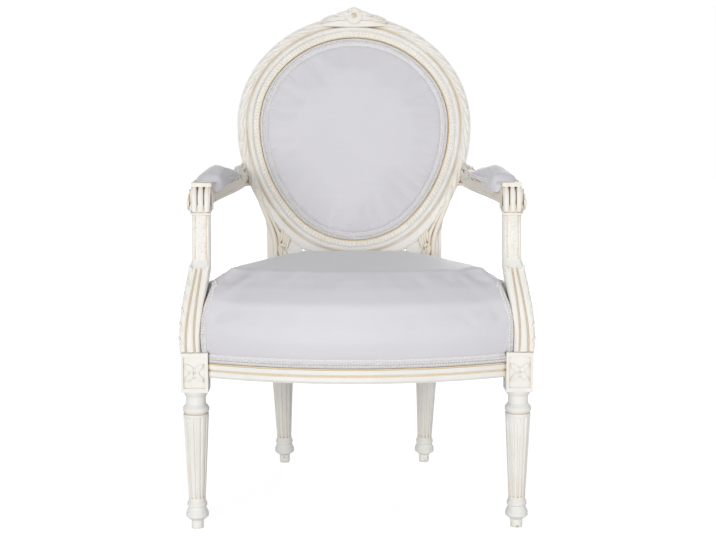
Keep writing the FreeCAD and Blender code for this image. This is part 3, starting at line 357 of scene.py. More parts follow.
def drawn_rod(name, profile, stations):
    """A rod extruded from station to station: place, then scale across and out of it."""
    before, wide, high = stations[0]
    rod = outline(
        name, [before @ Vector((0, across * wide, out * high)) for across, out in profile])
    enter(rod)
    for place, next_wide, next_high in stations[1:]:
        bpy.ops.mesh.extrude_region_move()
        mesh = bmesh.from_edit_mesh(rod.data)
        back = before.inverted()
        for vertex in mesh.verts:
            if vertex.select:
                _, across, out = back @ vertex.co
                vertex.co = place @ Vector((0, across * next_wide / wide, out * next_high / high))
        bmesh.update_edit_mesh(rod.data)
        before, wide, high = place, next_wide, next_high
    leave()
    rod.data.transform(to_metres)
    outward(rod)
    return smooth(rod, 50)


HALF_ROUND = ((-1, -1), (-1, 0), (-0.92, 0.45), (-0.6, 0.85), (0, 1), (0.6, 0.85), (0.92, 0.45),
              (1, 0), (1, -1))


def round_section(inset, height, radius, count):
    """Corners of a round moulding."""
    corners = []
    for index in range(count):
        turn = 2 * math.pi * index / count
        corners.append((inset + radius * math.cos(turn), height + radius * math.sin(turn)))
    return corners


# Finishes


class Tone:
    """The value at a socket of a finish, to reckon with."""

    def __init__(self, finish, socket):
        self.finish = finish
        self.socket = socket

    def maths(self, operation, *terms, clamp=False):
        return self.finish.node("ShaderNodeMath", {"operation": operation, "use_clamp": clamp},
                                dict(enumerate(terms)))

    def __add__(self, other):
        return self.maths("ADD", self, other)

    __radd__ = __add__

    def __sub__(self, other):
        return self.maths("SUBTRACT", self, other)

    def __rsub__(self, other):
        return self.maths("SUBTRACT", other, self)

    def __mul__(self, other):
        return self.maths("MULTIPLY", self, other)

    __rmul__ = __mul__

    def __truediv__(self, other):
        return self.maths("DIVIDE", self, other)

    def limited(self):
        return self.maths("ADD", self, 0.0, clamp=True)


class Finish:
    """A material whose nodes are added one by one."""

    def __init__(self, name, **fixed):
        self.material = bpy.data.materials.new(name)
        self.material.use_nodes = True
        self.tree = self.material.node_tree
        self.shader = self.tree.nodes["Principled BSDF"]
        for socket, value in fixed.items():
            self.shader.inputs[socket.replace("_", " ")].default_value = value

    def node(self, kind, settings=None, inputs=None, output=0):
        node = self.tree.nodes.new(kind)
        for key, value in (settings or {}).items():
            if key == "stops":
                for place, colour in value:
                    if place in (0, 1):
                        node.color_ramp.elements[place].color = colour
                    else:
                        node.color_ramp.elements.new(place).color = colour
            else:
                setattr(node, key, value)
        for key, value in (inputs or {}).items():
            if isinstance(value, Tone):
                self.tree.links.new(value.socket, node.inputs[key])
            else:
                node.inputs[key].default_value = value
        return Tone(self, node.outputs[output])

    def place(self, scale=(1, 1, 1)):
        """Object coordinates, stretched."""
        here = self.node("ShaderNodeTexCoord", output="Object")
        return self.node("ShaderNodeMapping", {}, {"Vector": here, "Scale": scale})

    def height(self):
        """Height above the floor in metres."""
        here = self.node("ShaderNodeTexCoord", output="Object")
        return self.node("ShaderNodeSeparateXYZ", {}, {"Vector": here}, "Z")

    def noise(self, scale, detail=2.0, stretch=(1, 1, 1), roughness=0.5):
        return self.node("ShaderNodeTexNoise", {}, {
            "Vector": self.place(stretch), "Scale": scale, "Detail": detail, "Roughness": roughness,
        }, "Fac")

    def threads(self, direction, scale, distortion=0.0):
        return self.node("ShaderNodeTexWave", {"bands_direction": direction}, {
            "Vector": self.place(), "Scale": scale, "Distortion": distortion, "Detail": 1.0,
        }, "Fac")

    def mixed(self, share, first, second):
        """A colour between two others: the node's colour sockets are 6 and 7, its result 2."""
        return self.node("ShaderNodeMix", {"data_type": "RGBA"}, {
            0: share, 6: first, 7: second,
        }, 2)

    def crevice(self, distance, inside=False):
        """How closed in a point is, from 0 in the open to 1 in a deep groove."""
        open_air = self.node("ShaderNodeAmbientOcclusion", {"samples": 8, "inside": inside}, {
            "Distance": distance,
        }, "AO")
        return 1 - open_air

    def paint(self, socket, value):
        """Lets a value drive one socket of the surface."""
        self.tree.links.new(value.socket, self.shader.inputs[socket])

    def closed(self, tone, roughness, height, depth, strength):
        """Sets colour, roughness and relief, and gives the material."""
        self.paint("Base Color", tone)
        self.paint("Roughness", roughness)
        self.paint("Normal", self.node("ShaderNodeBump", {}, {
            "Height": height, "Distance": depth, "Strength": strength,
        }))
        return self.material


def painted_wood(name, paint, shade, gilding, rubbed):
    """Brushed paint over gesso, with ochre left in the grooves, painted shade in the deepest of
    them and thin, rubbed edges.
    """
    finish = Finish(name, Specular_IOR_Level=0.4)
    clouds = finish.noise(14, 3)
    brush = finish.noise(9, 4, (14, 14, 1.6), 0.6)
    flecks = finish.noise(230, 2)
    groove = finish.crevice(0.007)
    edge = finish.crevice(0.003, inside=True)
    body = finish.mixed((clouds * 1.6 - 0.3).limited(), paint, shade)
    body = finish.mixed(((brush - 0.5) * 0.6).limited(), body, (0.74, 0.71, 0.64, 1))
    wash = ((groove - 0.22) * 3.0).limited() * ((clouds - 0.25) * 3.2).limited()
    body = finish.mixed(wash * gilding, body, (0.66, 0.46, 0.22, 1))
    # Painted shade: the deepest crevices, where shadow falls, are darkened to a dark brown
    deep = ((groove - 0.6) * 2.6).limited()
    body = finish.mixed(deep * 0.75, body, (0.19, 0.15, 0.11, 1))
    worn = ((edge - 0.42) * 2.4).limited() * ((flecks - 0.5) * 6).limited()
    body = finish.mixed(worn * rubbed, body, (0.60, 0.52, 0.40, 1))
    low = (1.6 - finish.height() * 40).limited()
    chips = ((finish.noise(75, 3) - 0.64) * 14).limited() * low
    body = finish.mixed(chips * 0.85, body, (0.26, 0.15, 0.08, 1))
    roughness = (0.46 + brush * 0.22 - wash * 0.08).limited()
    return finish.closed(body, roughness, brush * 0.7 + flecks * 0.3, 0.0006, 0.5)


def satin_cloth(name, light, dark, thread_scale=400):
    """Close satin weave with faint slubs and a soft sheen."""
    finish = Finish(name, Sheen_Weight=0.35, Sheen_Roughness=0.4, Specular_IOR_Level=0.45)
    slubs = finish.noise(30, 3, (0.5, 3, 14))
    clouds = finish.noise(6, 2)
    warp = finish.threads("X", thread_scale, 0.6)
    weft = finish.threads("Z", thread_scale * 0.8, 0.6)
    depth = finish.threads("Y", thread_scale * 0.8, 0.6)
    weave = (warp + weft + depth) / 3
    tone = finish.mixed((clouds * 0.7 + slubs * 0.5 - 0.1).limited(), light, dark)
    tone = finish.mixed(weave * 0.16, tone, dark)
    roughness = (0.5 + slubs * 0.14 - weave * 0.05).limited()
    return finish.closed(tone, roughness, weave + slubs * 0.6, 0.00025, 0.6)


def braid_cloth(name, light, dark):
    """Fine diagonal cords, with painted shade in the hollows between the loops."""
    finish = Finish(name, Sheen_Weight=0.25, Specular_IOR_Level=0.35)
    hollows = finish.crevice(0.003)
    fibres = finish.threads("DIAGONAL", 620, 1.5)
    specks = finish.noise(260, 2)
    tone = finish.mixed((specks * 1.8 - 0.5).limited(), light, dark)
    # Painted shade: the hollows between the loops are darkened towards grey
    tone = finish.mixed(((hollows - 0.42) * 0.9).limited(), tone, (0.40, 0.38, 0.40, 1))
    return finish.closed(tone, 0.6 + fibres * 0.2, fibres, 0.0003, 0.7)


def raw_wood(name):
    """Planed wood with its grain along X."""
    finish = Finish(name, Specular_IOR_Level=0.35)
    grain = finish.noise(8, 5, (1, 30, 30), 0.65)
    pores = finish.noise(160, 2, (0.2, 3, 3))
    tone = finish.mixed(grain, (0.62, 0.44, 0.27, 1), (0.42, 0.27, 0.15, 1))
    tone = finish.mixed(((pores - 0.6) * 2).limited(), tone, (0.28, 0.17, 0.09, 1))
    return finish.closed(tone, 0.6 + grain * 0.2, grain + pores, 0.0004, 0.5)


def coarse_weave(name, light, dark, scale):
    """Open weave of thick or thin threads."""
    finish = Finish(name, Specular_IOR_Level=0.2)
    warp = finish.threads("X", scale, 1.2)
    weft = finish.threads("Y", scale, 1.2)
    rise = finish.threads("Z", scale, 1.2)
    fuzz = finish.noise(300, 3)
    weave = (warp + weft + rise) / 3
    tone = finish.mixed((weave * 0.7 + fuzz * 0.5).limited(), dark, light)
    return finish.closed(tone, 0.85 + fuzz * 0.1, weave + fuzz * 0.4, 0.0006, 0.7)


def teased_stuffing(name):
    """Matted hair and wadding."""
    finish = Finish(name, Specular_IOR_Level=0.2)
    tufts = finish.noise(90, 6, roughness=0.7)
    tone = finish.mixed(tufts, (0.78, 0.73, 0.62, 1), (0.55, 0.48, 0.36, 1))
    return finish.closed(tone, 0.85 + tufts * 0.1, tufts, 0.002, 0.6)


ivory_paint = painted_wood(
    "ivory_paint", (0.86, 0.85, 0.82, 1), (0.80, 0.785, 0.745, 1), 0.6, 0.35)
carving_paint = painted_wood(
    "carving_paint", (0.87, 0.86, 0.825, 1), (0.81, 0.785, 0.72, 1), 0.7, 0.3)
console_paint = painted_wood(
    "console_paint", (0.86, 0.835, 0.775, 1), (0.80, 0.74, 0.63, 1), 1.0, 0.3)
gilt_paint = painted_wood("gilt_paint", (0.72, 0.52, 0.27, 1), (0.82, 0.71, 0.52, 1), 0.5, 0.6)
worn_gilt = painted_wood("worn_gilt", (0.66, 0.53, 0.37, 1), (0.79, 0.71, 0.58, 1), 0.6, 0.6)
pale_gilt = painted_wood("pale_gilt", (0.84, 0.76, 0.62, 1), (0.80, 0.70, 0.53, 1), 0.5, 0.6)
satin = satin_cloth("lavender_satin", (0.715, 0.705, 0.745, 1), (0.645, 0.635, 0.67, 1))
gimp_weave = braid_cloth("gimp_weave", (0.90, 0.885, 0.885, 1), (0.78, 0.76, 0.765, 1))
tape_weave = braid_cloth("gimp_tape", (0.85, 0.84, 0.845, 1), (0.76, 0.745, 0.755, 1))
beech = raw_wood("bare_beech")
jute = coarse_weave("jute", (0.62, 0.50, 0.34, 1), (0.40, 0.30, 0.18, 1), 90)
cambric = coarse_weave("black_cambric", (0.10, 0.10, 0.11, 1), (0.045, 0.045, 0.05, 1), 240)
stuffing = teased_stuffing("stuffing")
tack = Finish("tack_brass", Metallic=0.9)
tack_wear = tack.noise(500)
tack.paint("Base Color", tack.mixed(tack_wear, (0.16, 0.13, 0.09, 1), (0.34, 0.27, 0.17, 1)))
tack.paint("Roughness", 0.35 + tack_wear * 0.3)

SLOT_FINISHES = {
    "painted_wood": ivory_paint,
    "bare_beech": beech,
    "satin_cover": satin,
    "gimp_braid": gimp_weave,
    "stuffing": stuffing,
    "jute": jute,
    "cambric": cambric,
}
for entry in frame["record"]["subparts"]:
    mesh = nodes[entry["node"]].data
    mesh.materials.clear()
    mesh.materials.append(SLOT_FINISHES[entry["material_slot"]])
for name in ("arm_right", "arm_left"):
    nodes[name].data.materials[0] = console_paint


# Cushions


def closed_form(name, sources, voxel):
    """One closed skin round copies of solids, without the skins of hollows inside it."""
    form = united(name, [cut_from(source) for source in sources])
    outward(form)
    form.data.remesh_voxel_size = voxel
    form.data.use_remesh_preserve_volume = True
    take(form)
    bpy.ops.object.voxel_remesh()
    enter(form)
    mesh = bmesh.from_edit_mesh(form.data)
    islands = []
    seen = set()
    for vertex in mesh.verts:
        if vertex.index in seen:
            continue
        island = []
        queue = [vertex]
        seen.add(vertex.index)
        while queue:
            here = queue.pop()
            island.append(here)
            for edge in here.link_edges:
                there = edge.other_vert(here)
                if there.index not in seen:
                    seen.add(there.index)
                    queue.append(there)
        islands.append(island)
    islands.sort(key=len)
    for island in islands[:-1]:
        bmesh.ops.delete(mesh, geom=island, context="VERTS")
    bmesh.update_edit_mesh(form.data)
    leave()
    return form


CLOTH_STEPS = 20


def stuffed(form, held, cap, pressure=4.0):
    """Blows a skin up with cloth under pressure, moving no point further than the cap."""
    start = [vertex.co.copy() for vertex in form.data.vertices]
    pins = form.vertex_groups.new(name="held")
    for index, place in enumerate(start):
        weight = held(place)
        if weight > 0:
            pins.add([index], min(weight, 1.0), "REPLACE")
    take(form)
    cloth = form.modifiers.new("cloth", "CLOTH")
    for name, value in {
        "quality": 5, "mass": 0.3, "use_pressure": True, "uniform_pressure_force": pressure,
        "tension_stiffness": 12, "compression_stiffness": 12, "shear_stiffness": 6,
        "bending_stiffness": 1.2, "vertex_group_mass": "held",
    }.items():
        setattr(cloth.settings, name, value)
    cloth.settings.effector_weights.gravity = 0
    cloth.collision_settings.use_collision = False
    cloth.collision_settings.use_self_collision = False
    for step in range(1, CLOTH_STEPS + 1):
        bpy.context.scene.frame_set(step)
    bpy.ops.object.modifier_apply(modifier=cloth.name)
    bpy.context.scene.frame_set(1)
    form.vertex_groups.clear()
    for vertex, place in zip(form.data.vertices, start):
        move = vertex.co - place
        if move.length > cap:
            vertex.co = place + move * (cap / move.length)
    enter(form)
    bpy.ops.mesh.vertices_smooth(factor=0.5, repeat=4)
    leave()
    return form


def soft_skin(form):
    """Rounds a skin off and shades it as one surface."""
    finished(form, "SUBSURF", levels=1, render_levels=1)
    take(form)
    bpy.ops.object.shade_smooth()
    return form


def hold_below(level, fade):
    """Holds the points below a level, letting go over a short height."""
    return lambda co: 1 - (co.z - level) / fade if co.z < level + fade else 0


def ramp(value, start, length):
    """0 up to the start, 1 from a length beyond it on, and even between."""
    return min(1.0, max(0.0, (value - start) / length))


# The seat stands up a little at its front corners

CORNER_LIFT = 0.005
CORNER_Y = -0.19
seat_cushion = closed_form("seat_cushion", ("seat_cover", "seat_foam"), 0.0062)
for vertex in seat_cushion.data.vertices:
    ahead = max(0.0, 1 - abs(vertex.co.y - CORNER_Y) / 0.13)
    lift = ramp(abs(vertex.co.x), 0.21, 0.06) * ramp(vertex.co.z, 0.37, 0.06)
    vertex.co.z += CORNER_LIFT * lift * math.sin(ahead * math.pi / 2)
stuffed(seat_cushion, hold_below(0.345, 0.03), 0.009)
soft_skin(seat_cushion)
put(seat_cushion, satin, ("seat_cover", "seat_foam"))

to_back_plane = back_plane.inverted()


def back_height(co):
    """Place of a point in the back's plane, in millimetres; its z is the height over it."""
    return to_back_plane @ (co / MM)


def back_edge(co):
    """How far a point lies inside the edge of the back's padding, and its direction."""
    place = back_height(co)
    side = abs(place.x)
    best = None
    for (x, y), radius, first, last in OVAL_ARCS:
        turn = math.degrees(math.atan2(place.y - y, side - x))
        if first - 0.01 <= turn <= last + 0.01:
            gap = radius - PADDING_INSET - math.hypot(side - x, place.y - y)
            if best is None or gap < best[0]:
                best = (gap, turn)
    return best or (60.0, 0.0)


BACK_HOLD = 7
back_cushion = closed_form("back_cushion", ("back_cover", "back_foam"), 0.005)
stuffed(back_cushion, lambda co: 1.0 if back_height(co).z < BACK_HOLD else 0.0, 0.006, 3.0)
soft_skin(back_cushion)

# Small puckers where the cover is tacked down round the back

PUCKER_DEPTH = 1.3
PUCKER_FADE = 11
PUCKER_REACH = 40
for vertex in back_cushion.data.vertices:
    gap, turn = back_edge(vertex.co)
    if back_height(vertex.co).z > BACK_HOLD and gap < PUCKER_REACH:
        fold = math.sin(turn * 1.13) * math.cos(turn * 0.71 + 1.0)
        fold += 0.5 * math.sin(turn * 2.3 + 0.6)
        depth = PUCKER_DEPTH * fold * math.exp(-max(gap, 0) / PUCKER_FADE)
        vertex.co += (back_plane.to_3x3() @ Vector((0, 0, depth))) * MM
put(back_cushion, satin, ("back_cover", "back_foam"))

# Arm pads: fuller at the front, crowned, and drawn down over the arms' sides

ARM_SIDE = 0.0185
PAD_CROWN = 0.010
PAD_DROOP = 0.017
PAD_OVERHANG = 0.011
for side in ("right", "left"):
    low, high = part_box("arm_pad_" + side)
    pad = closed_form("arm_cushion_" + side, ("arm_pad_" + side,), 0.0035)
    middle = ARM_X * MM * (1 if side == "right" else -1)
    for vertex in pad.data.vertices:
        along = (vertex.co.y - low.y) / (high.y - low.y)
        share = max(0.0, 1 - along / 0.35)
        vertex.co.x += (vertex.co.x - middle) * 0.5 * share ** 1.3
        vertex.co.y -= PAD_OVERHANG * share
        upwards = max(0.0, (vertex.co.z - low.z - 0.004) / (high.z - low.z))
        crown = PAD_CROWN * math.sin(math.pi * ramp(along, -0.1, 0.75))
        vertex.co.z += (crown - 0.004 * max(0.0, (along - 0.7) / 0.3)) * upwards
        if abs(vertex.co.x - middle) > ARM_SIDE and upwards < 0.35:
            vertex.co.z -= PAD_DROOP * max(0.0, 1 - along / 0.9) * (1 - upwards / 0.35)
    stuffed(pad, hold_below(low.z + 0.004, 0.01), 0.003)
    soft_skin(pad)
    put(pad, satin, ("arm_pad_" + side,))


# Panel behind the back, and the dust cloth below the seat

fine_steps = oval_walk(1, 50.5)
PANEL_STEPS = 44
edge_ring = []
for step in range(PANEL_STEPS + 1):
    direction = fine_steps[round(step * (len(fine_steps) - 1) / PANEL_STEPS)]
    edge_ring.append(to_back_plane @ oval_place(direction, 50.7, -12).translation)
edge_ring[0].x = edge_ring[-1].x = 0
edge_ring += [Vector((-spot.x, spot.y, spot.z)) for spot in edge_ring[-2:0:-1]]
outside_panel = outline("outside_panel", edge_ring)
enter(outside_panel)
bpy.ops.mesh.extrude_region_move(TRANSFORM_OT_translate={"value": (0, 0, -2)})
for width, rise in ((3, 1.6), (12, 2.2), (25, 1.6), (40, 0.8)):
    bpy.ops.mesh.inset(thickness=width, depth=0)
    bpy.ops.transform.translate(value=(0, 0, -rise))
bpy.ops.mesh.poke()
bpy.ops.mesh.select_all(action="SELECT")
bpy.ops.mesh.normals_make_consistent(inside=False)
leave()
outside_panel.data.transform(to_metres @ back_plane)
finished(outside_panel, "SUBSURF", levels=2, render_levels=2)
smooth(outside_panel, 60)
put(outside_panel, satin, ("outside_back",))

dust_sheet = cut_from("dust_cover")
dust_sheet.name = "dust_sheet"
outward(dust_sheet)
enter(dust_sheet)
for way in (Vector((1, 0, 0)), Vector((0, 1, 0))):
    for step in range(-9, 9):
        bpy.ops.mesh.select_all(action="SELECT")
        bpy.ops.mesh.bisect(plane_co=way * (step * 0.031 + 0.007), plane_no=way)
leave()
SAG = 0.004
for vertex in dust_sheet.data.vertices:
    away = Vector((vertex.co.x / 0.27, (vertex.co.y + 0.02) / 0.2)).length
    vertex.co.z -= SAG * max(0.0, 1 - away ** 2)
smooth(dust_sheet, 60)
put(dust_sheet, cambric, ("dust_cover",))


# Braid: a woven tape with two rows of slanting loops


BRAID_PITCH = 5.2
loop_model = carved_leaf(7.4, 3.9, 1.9, taper=0.95, vein=0, sides=8, rows=4)


def loops_along(places, turn=32, apart=0.6, lift=0.9, size=1.0):
    """Two rows of loops at places whose X runs along the braid and Z out of it."""
    loops = []
    for place in places:
        for row in (-1, 1):
            start = place @ Matrix.Translation((0, row * apart, lift)) @ rotated(turn * row)
            loops.append(carved(loop_model, start @ Matrix.Scale(size, 4)))
    return loops


def spun_tape(name, corners, centre, sweep):
    """A length of tape or gilding: a section spun about an upright line in the seat's frame."""
    tape = outline(name, corners)
    enter(tape)
    bpy.ops.mesh.spin(steps=24, angle=-sweep, center=(*centre, 0), axis=(0, 0, 1))
    leave()
    tape.data.transform(to_metres @ seat_plane)
    outward(tape)
    return tape


back_tape = oval_moulding("back_tape", [
    (48.9, 4), (48.9, 7.8), (50, 8.7), (60.4, 8.7), (62, 7.6), (67, 6.4), (67, 4)])
braid_places = [oval_place(direction, 55.2, 8.2) for direction in oval_walk(BRAID_PITCH, 55)]
put(back_tape, tape_weave, ("back_gimp",))
put_pair("back_braid", loops_along(braid_places), gimp_weave, ("back_gimp",))

# Outer arcs of the front rail and the right rail in the plan of the seat: centre, radius, first
# and last direction in degrees

RAIL_ARCS = (
    (Vector((0, 552.7)), 631.7, -90 - 25.85, -90 + 25.85),
    (Vector((-877.0, -180.6)), 1212.2, 9.85, 28.95),
)


def compass(turn):
    """Direction in the plan of the seat."""
    return Vector((math.cos(turn), math.sin(turn)))


rail_tapes = []
rail_places = []
for centre, radius, first, last in RAIL_ARCS:
    start = math.radians(first)
    corners = []
    for inset, height in ((2.6, 316.6), (2.6, 329.4), (4.6, 333.4), (17, 336.5), (17, 333.2),
                          (5.6, 330.6), (5.2, 316.6)):
        corners.append((*(centre + compass(start) * (radius - inset)), height))
    sweep = math.radians(last - first)
    rail_tapes.append(spun_tape("rail_tape", corners, centre, sweep))
    rail_places.append([])
    count = round(radius * sweep / BRAID_PITCH)
    for step in range(count):
        turn = start + sweep * (step + 0.5) / count
        spot = Matrix.Translation((*(centre + compass(turn) * (radius - 2.9)), BRAID_LEVEL))
        rows = rotated(math.degrees(turn) + 90) @ rotated(90, "X")
        rail_places[-1].append(seat_plane @ spot @ rows)
front_tape, side_tape = rail_tapes
front_places, side_places = rail_places
both_sides(side_tape)
side_braid = both_sides(united("side_braid", loops_along(side_places)))

# Gilding along the top edge of the rails and in their groove

rail_gilding = []
for (centre, radius, first, last), trim in zip(RAIL_ARCS, (0.35, 0.2)):
    for inset, height, half in ((0.9, 314.6, 1.5), (3.2, 302.2, 1.4)):
        out = compass(math.radians(first + trim))
        rim = []
        for step in range(8):
            turn = math.pi * step / 4
            reach = radius - inset + 0.75 * half * math.cos(turn)
            rim.append((*(centre + out * reach), height + half * math.sin(turn)))
        sweep = math.radians(last - first - 2 * trim)
        rail_gilding.append(spun_tape("gilding", rim, centre, sweep))
for gilding in rail_gilding[2:]:
    both_sides(gilding)
rail_gilding = smooth(united("rail_gilding", rail_gilding), 60)
put(rail_gilding, gilt_paint)

# Braid that climbs round each arm support, where the cover is cut: over the front of the
# cushion (x, height, how far beside it the skin is read), then round the top and down the side

NOTCH_FRONT = (
    (283, 335, 13), (283, 350, 13), (283, 366, 13), (283, 384, 13), (282.5, 400, 12),
    (278.5, 415, 9), (274.5, 428, 5), (270, 441, 2), (266.5, 452, 0),
)
NOTCH_ROUND = (
    (266, 12, 458), (266, 24, 461), (267, 36, 462), (270, 46, 460), (276, 53, 456), (286, 57, 449),
    (300, 58, 437), (316, 55, 421), (326, 50, 398), (330, 48, 370), (330, 48, 340),
)
cushion_skin = BVHTree.FromObject(seat_cushion, bpy.context.evaluated_depsgraph_get())
NOTCH_CORE = Vector((232, 40, 375))


def on_cushion(point):
    """Nearest place of the seat's skin seen from outside towards its inside, and the way out."""
    core = seat_plane @ NOTCH_CORE
    way = seat_plane @ Vector(point) - core
    spot, out, _, _ = cushion_skin.ray_cast((core + way * 2) * MM, -way.normalized())
    if spot is None or (spot / MM - core).length < 0.75 * way.length:
        return seat_plane @ Vector(point), way.normalized()
    return spot / MM, out


def on_cushion_front(x, height, beside):
    """Place on the seat's front, read a little beside it where the skin is rounded off."""
    start = seat_plane @ Vector((x - beside, -400, height))
    spot, out, _, _ = cushion_skin.ray_cast(start * MM, Vector((0, 1, 0)))
    return spot / MM + Vector((beside, 0.45 * beside, 0)), out


def even_run(spots, pitch):
    """Places at even steps along a line of (point, outward) pairs."""
    lengths = [0.0]
    for (a, _), (b, _) in zip(spots, spots[1:]):
        lengths.append(lengths[-1] + (b - a).length)
    count = round(lengths[-1] / pitch)
    places = []
    for step in range(count + 1):
        reach = lengths[-1] * step / count
        index = max(i for i in range(len(spots) - 1) if lengths[i] <= reach + 1e-6)
        share = (reach - lengths[index]) / (lengths[index + 1] - lengths[index])
        spot = spots[index][0].lerp(spots[index + 1][0], share)
        out = spots[index][1].lerp(spots[index + 1][1], share).normalized()
        along = (spots[index + 1][0] - spots[index][0]).normalized()
        out = (out - along * out.dot(along)).normalized()
        across = out.cross(along)
        places.append(Matrix.Translation(spot) @ axes(along, across, out))
    return places


notch_line = [on_cushion_front(*point) for point in NOTCH_FRONT]
notch_line += [on_cushion(point) for point in NOTCH_ROUND]
notch_places = even_run(notch_line, BRAID_PITCH)
notch_braid = both_sides(united("notch_braid", loops_along(notch_places)))
FLAT_TAPE = ((-1, -2 / 3), (-1, 1), (1, 1), (1, -2 / 3))
notch_tape = both_sides(drawn_rod(
    "notch_tape", FLAT_TAPE, [(place, 6, 0.9) for place in notch_places]))

REAR_LOOPS = 52
rear_places = []
for step in range(REAR_LOOPS):
    spot = Matrix.Translation((-134 + step * 5.25, 456.4, BRAID_LEVEL))
    rear_places.append(seat_plane @ spot @ rotated(180) @ rotated(90, "X"))
rear_tape = block((0, FRONT_LEG_Y + 455.3, BRAID_LEVEL), (273.6, 2.4, 12.1), 0.6)
rear_tape.data.transform(to_metres)
seat_tape = united("seat_tape", [front_tape, side_tape, rear_tape, notch_tape])
seat_braid = united(
    "seat_braid", [side_braid, notch_braid] + loops_along(front_places + rear_places))
put(seat_tape, tape_weave, ("seat_gimp",))
put(seat_braid, gimp_weave, ("seat_gimp",))


# Braid round the arm pads

def arm_line(share):
    """Middle of the arm's top at a share of its run."""
    sweep = 1 - (1 - share) ** 2
    return Vector((ARM_X - 43 * sweep, SCROLL_Y + ARM_RUN * share, 302 + 17 * share ** 1.6))


pad_edge = []
for share, wide in ((-0.03, 0.78), (0.05, 1.05), (0.2, 1.02), (0.35, 1.0), (0.55, 0.97),
                    (0.75, 0.92), (0.94, 0.78), (1.0, 0.56)):
    pad_edge.append((arm_line((PAD_START + PAD_LENGTH * share) / ARM_RUN), 22 * wide + 1.5))
front, rear = pad_edge[0][0], pad_edge[-1][0]
pad_line = [(front, 0, -4, (0, -1))]
pad_line += [(spot, half, 0, (1, 0)) for spot, half in pad_edge]
pad_line += [(rear, 0, 4, (0, 1))]
pad_line += [(spot, -half, 0, (-1, 0)) for spot, half in reversed(pad_edge)]
pad_line += pad_line[:1]
pad_line = [
    (arm_plane @ (spot + Vector((sideways, back, 4.5))), Vector((*way, 0.35)).normalized())
    for spot, sideways, back, way in pad_line]
pad_loops = loops_along(even_run(pad_line, 4.6)[:-1], 34, 0.4, 0.4, 0.72)
put_pair("arm_braid", pad_loops, gimp_weave,
         ("arm_pad_gimp_right", "arm_pad_gimp_left"))


# Carved ribbon, torus, beading and gilt line on the oval

for name, section, finish in (
    ("oval_torus", round_section(TORUS_INSET - 0.5, 11.2, 5.6, 12), ivory_paint),
    ("gilt_line", round_section(46.6, 9.3, 1.5, 8), gilt_paint),
    ("outer_fillet", round_section(2.2, 8.6, 2.6, 10), ivory_paint),
):
    put(oval_moulding(name, section), finish)

ribbon_model = carved_leaf(43, 10.5, 4.6, taper=0.62, vein=0.0)
ribbon = []
for direction in oval_walk(34, 10.5, -31, 77):
    place = oval_place(direction, 10.8, BAND_FRONT - 0.6)
    ribbon.append(carved(ribbon_model, place @ rotated(13) @ Matrix.Translation((-21, 0, 0))))
put_pair("ribbon_band", ribbon, carving_paint)

tick_model = carved_leaf(8.4, 4.6, 1.7, taper=0.8, vein=0, sides=8, rows=5)
ticks = []
for direction in oval_walk(7.6, 41):
    place = oval_place(direction, 36.6, CREAM_BAND_FRONT - 0.35)
    ticks.append(carved(tick_model, place @ rotated(68)))
put_pair("beading", ticks, carving_paint)


# Crest: a flower between two sprays of leaves

petal = carved_leaf(18.5, 16, 5.5, taper=1.1, vein=0.3, curl=0.1)
long_leaf = carved_leaf(34, 13, 6.5, taper=0.5, vein=0.35, curl=0.35)
short_leaf = carved_leaf(22, 10, 5, taper=0.55, vein=0.35, curl=0.5)
FLOWER_UP = OVAL_TOP - 1
FLOWER_FRONT = 19.3
flower = []
for index in range(5):
    flower.append(carved(petal, on_back(0, FLOWER_UP, FLOWER_FRONT, 72 * index + 90, 2)))
spray = []
for x, up, heading, model in (
    (9, 8, -14, long_leaf), (26, 2, -18, long_leaf),
    (43, -4, -17, short_leaf), (55, -8, -18, short_leaf),
    (12, 1, 2, short_leaf), (28, -2, -6, short_leaf), (42, -6, -10, short_leaf),
    (12, -4, -4, long_leaf), (32, -5, -11, long_leaf), (52, -9, -16, short_leaf),
):
    spray.append(carved(model, on_back(x, OVAL_TOP + up - 2, 19, heading, 4)))
crest_carving = united("crest_carving", [both_sides(united("spray", spray))] + flower)
put(crest_carving, carving_paint)
flower_heart = knob(16, 10, 6, 0.75)
flower_heart.name = "flower_heart"
flower_heart.data.transform(to_metres @ on_back(0, FLOWER_UP, FLOWER_FRONT + 4, 0))
put(flower_heart, worn_gilt)


# Consoles between the seat and the oval: reeds and a curled leaf

REED_LINES = (
    (((212, 312, 11), (206, 289, 11.5), (198, 268, 11.5), (189, 247, 11), (180, 226, 9.5),
      (174, 207, 8), (171.5, 188, 7.6), (171, 165, 7.4), (171, 120, 7), (171, 60, 7)), 5.6),
    (((193, 271, 13), (185, 256, 13), (177, 240, 11.5), (169, 223, 9.4), (163, 206, 8.4),
      (161, 188, 8), (161, 165, 8), (161, 120, 8), (161, 60, 8)), 3.6),
    (((184, 252, 14), (175.5, 236, 13), (166, 221, 11), (157.5, 207, 9), (154.5, 190, 8.6),
      (154.5, 165, 8.6), (154.5, 120, 8.6)), 2.2),
)
consoles = []
for points, radius in REED_LINES:
    start_fresh()
    bpy.ops.curve.primitive_nurbs_path_add(location=(0, 0, 0))
    reed = bpy.context.object
    line = reed.data.splines[0]
    line.points.add(max(0, len(points) - len(line.points)))
    for index, point in enumerate(line.points):
        point.co = (*points[min(index, len(points) - 1)], 1)
    line.use_endpoint_u = True
    reed.data.bevel_depth = radius
    reed.data.bevel_resolution = 3
    reed.data.resolution_u = 6
    reed.data.use_fill_caps = True
    bpy.ops.object.convert(target="MESH")
    reed = bpy.context.object
    reed.data.transform(to_metres @ back_plane)
    outward(reed)
    consoles.append(smooth(reed, 60))
console_leaf = carved_leaf(34, 8, 6, taper=0.9, vein=0.2, curl=0.3)
console_tip = carved_leaf(21, 9, 9, taper=0.95, vein=0.2)
console_small = carved_leaf(28, 12, 6, taper=0.7, vein=0.35, curl=0.4)
